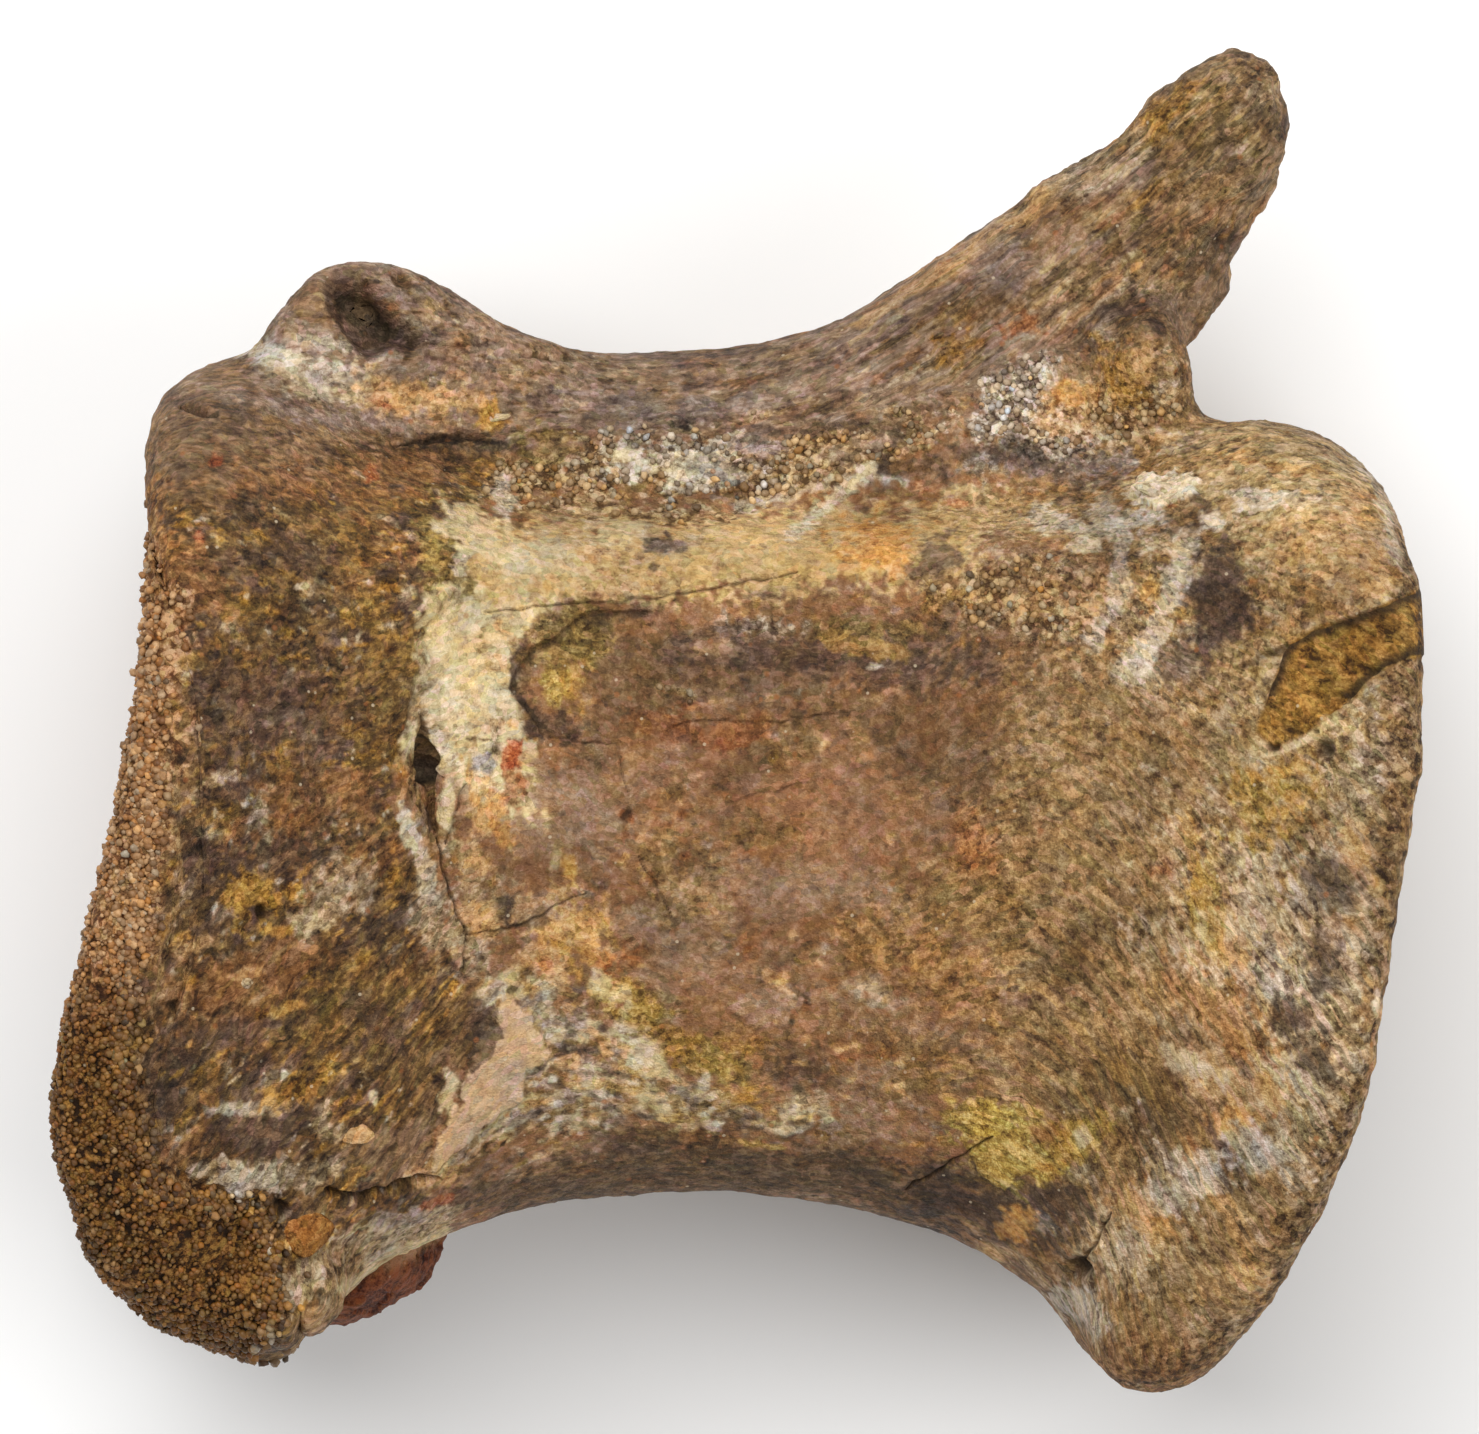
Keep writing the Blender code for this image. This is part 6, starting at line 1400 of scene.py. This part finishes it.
def makeCrust():
    # sandy lumps in front, and behind the crust's edge the bone's own look, one running into the other
    p, faces = crustSkin
    normals = pointNormals(p, faces)
    p, normals, faces = finer(p, normals, faces, normals[faces, 2].mean(axis=1) > 0.25)
    p = levelled(p + crustShape["closing"] * normals * ramp(normals[:, :1], -0.1, 0.5), 0.05)
    normals = pointNormals(p, faces)
    grains = scattered(p, 0.62, 121)[0]
    dome = np.sqrt(np.clip(1.0 - (grains / 0.65) ** 2, 0.0, 1.0))
    inner = ramp(normals[:, 0], -0.1, 0.5)
    height = -crustShape["sink"] * (1.0 - inner)
    rosy = ramp(p[:, 1] + 1.6 * layers(p, 5.0, 3, 110), -20.0, -14.0)
    relief = crustShape["lumps"] * layers(p, 4.0, 3, 124) + crustShape["sand"] * (1.0 - 0.4 * rosy) * (dome - 0.6)
    height += relief * (1.0 - 0.7 * inner)
    finish = crustFinish(p)
    # the sand domes' tops pick lighter colours and the gaps between them are darkened with painted shade
    crest = (1.3 - 0.6 * rosy) * (dome - 0.75) + 0.3 * noise(p, 1.6, 126)
    dark = (0.5 - 0.5 * rosy) * (dome < 0.1)
    upper = np.ones(len(p))
    waver, fibre = wavers(p, upper, normals), fibrePlaces(p)
    zone = zoneShares(p, waver)
    boneLike = boneFinish(p, normals, upper, waver, zone, fibre)
    boneHeight, boneDark, boneCrest = sculptBone(p, upper, waver, zone, boneLike, fibre)
    share = boneBehind(p, waver)
    height += (boneHeight - height) * share
    finish += (boneLike - finish) * share[:, None]
    crest += (boneCrest - crest) * share
    dark += (boneDark - dark) * share
    shaped = p + normals * height[:, None]
    shaped[:, 2] = np.maximum(shaped[:, 2], 0.0)
    shapedNormals = pointNormals(shaped, faces)
    piece = newPiece("sandstone_crust_skin", shaped, faces, shapedNormals)
    finishPoints(piece, finish, crest, dark, fibre)
    setPiece(piece, "sandstone_crust", stoneMaterial)
    return shaped, shapedNormals, faces, finish, 1.0 - share


lumpShape = {"voxel": 0.28, "rounds": 8, "sink": 0.3, "toBone": 0.7, "shift": (-0.7, 0.0, 0.0)}


def makeLump():
    # a dark red stone, a little lifted where it faces the bone, paler at its upper end, and darker with painted shade
    # in its low places
    p, faces = evenSkin("sandstone_lump", lumpShape["voxel"])
    p = relaxed(p, faces, lumpShape["rounds"])
    normals = pointNormals(p, faces)
    crest = 0.6 * layers(p, 2.4, 3, 131) + 1.6 * scattered(p, 2.6, 132)[1]
    toBone = ramp(normals[:, 1], 0.2, 0.7)
    height = (-lumpShape["sink"] + lumpShape["toBone"] * toBone + 0.3 * crest + 0.16 * noise(p, 0.8, 133)
              + 0.08 * noise(p, 0.4, 134))
    shaped = p + normals * height[:, None] + np.array(lumpShape["shift"])
    finish = np.tile(finishRow("redStone"), (len(p), 1))
    pale = ramp(p[:, 1] - 0.4 * p[:, 0] + 0.8 * layers(p, 2.0, 2, 136), -29.5, -27.5)
    finish += (finishRow("peach") - finish) * 0.6 * pale[:, None]
    piece = newPiece("sandstone_lump_skin", shaped, faces, pointNormals(shaped, faces))
    # its low places are darkened with painted shade
    finishPoints(piece, finish, 0.7 * crest, 0.6 * ramp(-crest, 0.4, 0.9), fibrePlaces(p))
    setPiece(piece, "sandstone_lump", stoneMaterial)


def roundForm(rounds):
    # an eight-sided form whose sides are split again and again, blown up to a ball
    points = np.concatenate([np.eye(3), -np.eye(3)])
    faces = []
    for i, j, k in ((i, j, k) for i in (1, -1) for j in (1, -1) for k in (1, -1)):
        a, b, c = 3 * (i < 0), 1 + 3 * (j < 0), 2 + 3 * (k < 0)
        faces.append((a, b, c) if i * j * k > 0 else (b, a, c))
    faces = np.array(faces)
    for turn in range(rounds):
        points, same, faces = finer(points, points, faces, np.ones(len(faces), bool))
        points = points / np.linalg.norm(points, axis=1)[:, None]
    return points, faces


def strewn(surface, weight, spacing, seed):
    # places on a surface: one for each small cell that it passes through, kept with a chance of weight
    p, faces = surface[0], surface[2]
    random = np.random.default_rng(seed)
    a, b, c = (p[faces[:, k]] for k in range(3))
    area = np.linalg.norm(np.cross(b - a, c - a), axis=1) * weight[faces].mean(axis=1)
    pick = random.choice(len(faces), int(area.sum() / 2.0 / spacing ** 2 * 9.0), p=area / area.sum())
    u, v = random.random((2, len(pick)))
    u, v = np.where(u + v > 1.0, 1.0 - u, u), np.where(u + v > 1.0, 1.0 - v, v)
    place = a[pick] + u[:, None] * (b - a)[pick] + v[:, None] * (c - a)[pick]
    cell = np.floor(place / spacing).astype(np.int64)
    first = np.unique(cell[:, 0] * 1000003 + cell[:, 1] * 1009 + cell[:, 2], return_index=True)[1]
    first = first[random.random(len(first)) < np.clip(weight[faces[pick[first], 0]] * 1.3, 0.0, 1.0)]
    return place[first], faces[pick[first], 0]


def makeGrains(name, surface, weight, kind, seed):
    # sand grains: roundish forms of few faces, each stretched, turned and coloured by chance
    place, near = strewn(surface, weight, kind["spacing"], seed)
    grainsAt(name, surface, place, near, kind, seed)


pieceLimit = 200000  # triangles, past which a piece is divided in two


def grainsAt(name, surface, place, near, kind, seed):
    # a grain at each place, coloured like the surface's point near it; a few are pale quartz and a few rusty
    normals, finish = surface[1], surface[3]
    random = np.random.default_rng(seed + 1)
    form, formFaces = roundForm(kind["form"]) if kind["form"] else icosahedron()
    count = len(place)
    turn = np.linalg.qr(random.normal(size=(count, 3, 3)))[0]
    size = random.uniform(*kind["size"], (count, 1, 1)) * random.uniform(0.75, 1.2, (count, 1, 3))
    points = form[None] * (1.0 + random.uniform(-0.2, 0.2, (count, len(form), 1))) * size
    points = points @ turn * np.sign(np.linalg.det(turn))[:, None, None]
    points += (place + normals[near] * 0.12)[:, None]
    points[..., 2] = np.maximum(points[..., 2], 0.0)
    own = finish[near]
    pick = np.clip(random.normal(0.62, 0.3 * (1.0 - 0.5 * kind["even"]), (count, 1)), 0.1, 1.0)
    deep, tint, high = own[:, 0:3], own[:, 3:6], own[:, 6:9]
    tint = np.where(pick < 0.5, deep + (tint - deep) * pick * 2.0, tint + (high - tint) * (pick * 2.0 - 1.0))
    chance = random.random((count, 1))
    tint = np.where(chance > 0.985, tint * 0.6 + 0.4 * linear(grainMarks["quartz"]), tint)
    tint = np.where((chance > 0.88) & (chance < 0.93), tint * 0.6 + 0.4 * linear(grainMarks["rust"]), tint)
    tint *= 1.0 + 0.12 * random.normal(size=(count, 1)) * np.array([1.0, 0.2, -1.2])
    tint = np.clip(tint, 0.005, 0.9)
    halves = {name: np.ones(count, bool)}
    if count * len(formFaces) > pieceLimit:
        high = place[:, 1] > np.median(place[:, 1])
        halves = {name + "_upper": high, name + "_lower": ~high}
    for half, chosen in halves.items():
        starts = np.arange(chosen.sum()) * len(form)
        ownFaces = formFaces[None] + starts[:, None, None]
        piece = newPiece(half, points[chosen].reshape(-1, 3), ownFaces.reshape(-1, 3))
        paint = np.repeat(tint[chosen], len(form), 0)
        paintOn(piece.data, "tint", paint)
        paintOn(piece.data, "deepTint", paint * grainMarks["deep"])
        setPiece(piece, None, grainMaterial)


def makeSeam():
    # grains strewn over the edge between crust and bone, so that the one runs into the other: each lies on the
    # highest point of either skin near it
    cell, columns = 0.5, np.array([1, 10000])
    random = np.random.default_rng(161)
    line = np.array(crustEdge)
    long = np.linalg.norm(np.diff(line, axis=0), axis=1)
    count = int(long.sum() * 26)
    reach = random.random(count) * long.sum()
    which = np.searchsorted(np.cumsum(long), reach)
    share = 1.0 - (np.cumsum(long)[which] - reach) / long[which]
    spot = line[which] + (line[which + 1] - line[which]) * share[:, None] + random.normal(0.0, 0.6, (count, 2))
    onBone, onCrust = bone[0][:, 2] > midPlane, crust[0][:, 2] > midPlane - 12.0
    skin = np.concatenate([bone[0][onBone], crust[0][onCrust]])
    finish = np.concatenate([bone[3][onBone], crust[3][onCrust]])
    skinCell = np.floor(skin[:, :2] / cell).astype(int) @ columns
    order = np.lexsort((-skin[:, 2], skinCell))
    cells, first = np.unique(skinCell[order], return_index=True)
    top = order[first]
    spotCell = np.floor(spot / cell).astype(int) @ columns
    found = np.minimum(np.searchsorted(cells, spotCell), len(cells) - 1)
    good = (cells[found] == spotCell) & (spot[:, 1] < 15.0)
    near = top[found[good]]
    place = np.column_stack([spot[good], skin[near, 2] - 0.1])
    surface = (place, np.tile((0.0, 0.0, 1.0), (len(place), 1)), None, finish[near])
    grainsAt("seam_sand", surface, place, np.arange(len(place)), sand["seam"], 163)


def icosahedron():
    # the regular form of twenty faces
    g = (1.0 + math.sqrt(5.0)) / 2.0
    points = np.array([(-1, g, 0), (1, g, 0), (-1, -g, 0), (1, -g, 0), (0, -1, g), (0, 1, g), (0, -1, -g), (0, 1, -g),
                       (g, 0, -1), (g, 0, 1), (-g, 0, -1), (-g, 0, 1)], float)
    faces = np.array([(0, 11, 5), (0, 5, 1), (0, 1, 7), (0, 7, 10), (0, 10, 11), (1, 5, 9), (5, 11, 4), (11, 10, 2),
                      (10, 7, 6), (7, 1, 8), (3, 9, 4), (3, 4, 2), (3, 2, 6), (3, 6, 8), (3, 8, 9), (4, 9, 5),
                      (2, 4, 11), (6, 2, 10), (8, 6, 7), (9, 8, 1)])
    return points / np.linalg.norm(points[0]), faces


# Small stones set in the left side: place, half sizes along, across and up, turn, finish
stones = (
    ((-26.3, -28.9), (1.25, 0.8, 0.32), 5, "peach"),
    ((-30.1, -35.6), (2.3, 1.9, 0.55), -25, "orangeStone"),
    ((29.8, 15.8), (1.9, 0.62, 0.45), -6, "white"),
    ((33.2, 13.6), (0.85, 0.5, 0.4), -20, "white"),
    ((-16.6, 21.0), (0.95, 0.3, 0.3), 12, "cream"),
    ((-17.1, 21.5), (0.22, 0.6, 0.3), 20, "gold"),
    ((-44.0, -18.0), (0.75, 0.6, 0.5), 30, "orange"),
    ((-33.7, -18.3), (0.45, 0.4, 0.3), 0, "greyFleck"),
    ((-41.0, -17.4), (0.5, 0.35, 0.3), 0, "rust"),
)


def makeStones():
    # each stone is a ball cut by planes at random turns, drawn out to its half sizes, dented, and set into the bone
    p, normals = bone[:2]
    form, formFaces = roundForm(3)
    groups = []
    for i, ((x, y), halves, turn, finishName) in enumerate(stones):
        high = np.flatnonzero((normals[:, 2] > 0.1) & (p[:, 2] > midPlane))
        under = p[high[np.argmin((p[high, 0] - x) ** 2 + (p[high, 1] - y) ** 2)]]
        planes = np.random.default_rng(170 + i).normal(size=(11, 3)) * (1.0, 1.0, 0.7)
        planes /= np.linalg.norm(planes, axis=1)[:, None]
        reach = np.minimum((0.8 / np.maximum(form @ planes.T, 0.05)).min(axis=1), 1.0)
        lumpy = form * (reach * (1.0 + 0.12 * layers(form + 10.0 * i, 0.8, 3, 141)))[:, None]
        c, s = math.cos(math.radians(turn)), math.sin(math.radians(turn))
        flat = lumpy * np.array(halves)
        spun = np.stack([flat[:, 0] * c - flat[:, 1] * s + x, flat[:, 0] * s + flat[:, 1] * c + y,
                         flat[:, 2] + under[2] + 0.1 * halves[2]], 1)
        groups.append((spun, formFaces + i * len(form), np.tile(finishRow(finishName), (len(form), 1))))
    points, faces, finish = (np.concatenate(parts) for parts in zip(*groups))
    piece = newPiece("set_stones", points, faces)
    finishPoints(piece, finish, 0.5 * noise(points, 0.5, 145), np.zeros(len(points)), fibrePlaces(points))
    setPiece(piece, None, stoneMaterial)


crust = makeCrust()
makeLump()
makeStones()
seen = ramp(crust[1][:, 2], -0.15, 0.1) * (crust[0][:, 0] < 60.0)
outside = 1.0 - ramp(crust[1][:, 0], 0.2, 0.6)
makeGrains("crust_sand_left", crust, seen * outside * crust[4] * ramp(noise(crust[0], 1.6, 157), -0.75, 0.1),
           sand["crust"], 151)
makeGrains("crust_sand_front", crust, (1.0 - seen) * outside * (crust[0][:, 2] > 0.6), sand["front"], 153)
makeSeam()
sandy = ramp(bone[3][:, 10], 0.55, 0.95) * (bone[0][:, 2] > 0.8)
makeGrains("bone_sand", bone, sandy * (0.45 + 0.55 * bone[4]), sand["bone"], 155)


# Surroundings

photo = {
    "width": 1479,  # pixels
    "scale": 0.07,  # millimetres a pixel
    "middle": (4.5, 1.0),  # the photo's middle from the bone's, in pixels
    "lens": 500.0, "sensor": 36.0, "level": 34.0,  # in millimetres: the level at which the scale holds
}

studio = {
    "key": ((-0.16, 0.34, 0.72), 0.80, 6.2),  # place, size, watts
    "fill": ((0.45, -0.15, 0.55), 0.60, 2.0),
    "around": 0.34,
}


def makeFloor():
    bpy.ops.mesh.primitive_plane_add(size=3.0, location=(0.0, 0.0, 0.0))
    floor = bpy.context.object
    floor.name = "floor"
    n = Nodes("paleFloor")
    n.shader.inputs["Base Color"].default_value = (0.97, 0.97, 0.965, 1.0)
    n.shader.inputs["Roughness"].default_value = 0.8
    floor.data.materials.append(n.material)


def makeLight():
    for name in ("key", "fill"):
        place, size, power = studio[name]
        light = bpy.data.lights.new(name + "Light", "AREA")
        light.shape = "DISK"
        light.size = size
        light.energy = power
        lamp = bpy.data.objects.new(name + "Light", light)
        bpy.context.scene.collection.objects.link(lamp)
        lamp.location = place
        lamp.rotation_euler = (Vector((0.0, 0.0, 0.03)) - Vector(place)).to_track_quat("-Z", "Y").to_euler()
    world = bpy.data.worlds.new("studio")
    world.use_nodes = True
    world.node_tree.nodes["Background"].inputs["Color"].default_value = (1.0, 1.0, 1.0, 1.0)
    world.node_tree.nodes["Background"].inputs["Strength"].default_value = studio["around"]
    bpy.context.scene.world = world
    bpy.context.scene.view_settings.view_transform = "Standard"


def makeCamera():
    camera = bpy.data.cameras.new("camera")
    camera.lens = photo["lens"]
    camera.sensor_width = photo["sensor"]
    camera.sensor_fit = "HORIZONTAL"
    camera.clip_end = 20.0
    holder = bpy.data.objects.new("camera", camera)
    bpy.context.scene.collection.objects.link(holder)
    away = photo["width"] * photo["scale"] * photo["lens"] / photo["sensor"]
    x, y = (part * photo["scale"] for part in photo["middle"])
    holder.location = (x * mm, y * mm, (photo["level"] + away) * mm)
    bpy.context.scene.camera = holder


makeFloor()
makeLight()
makeCamera()
print("floor, light and camera placed")
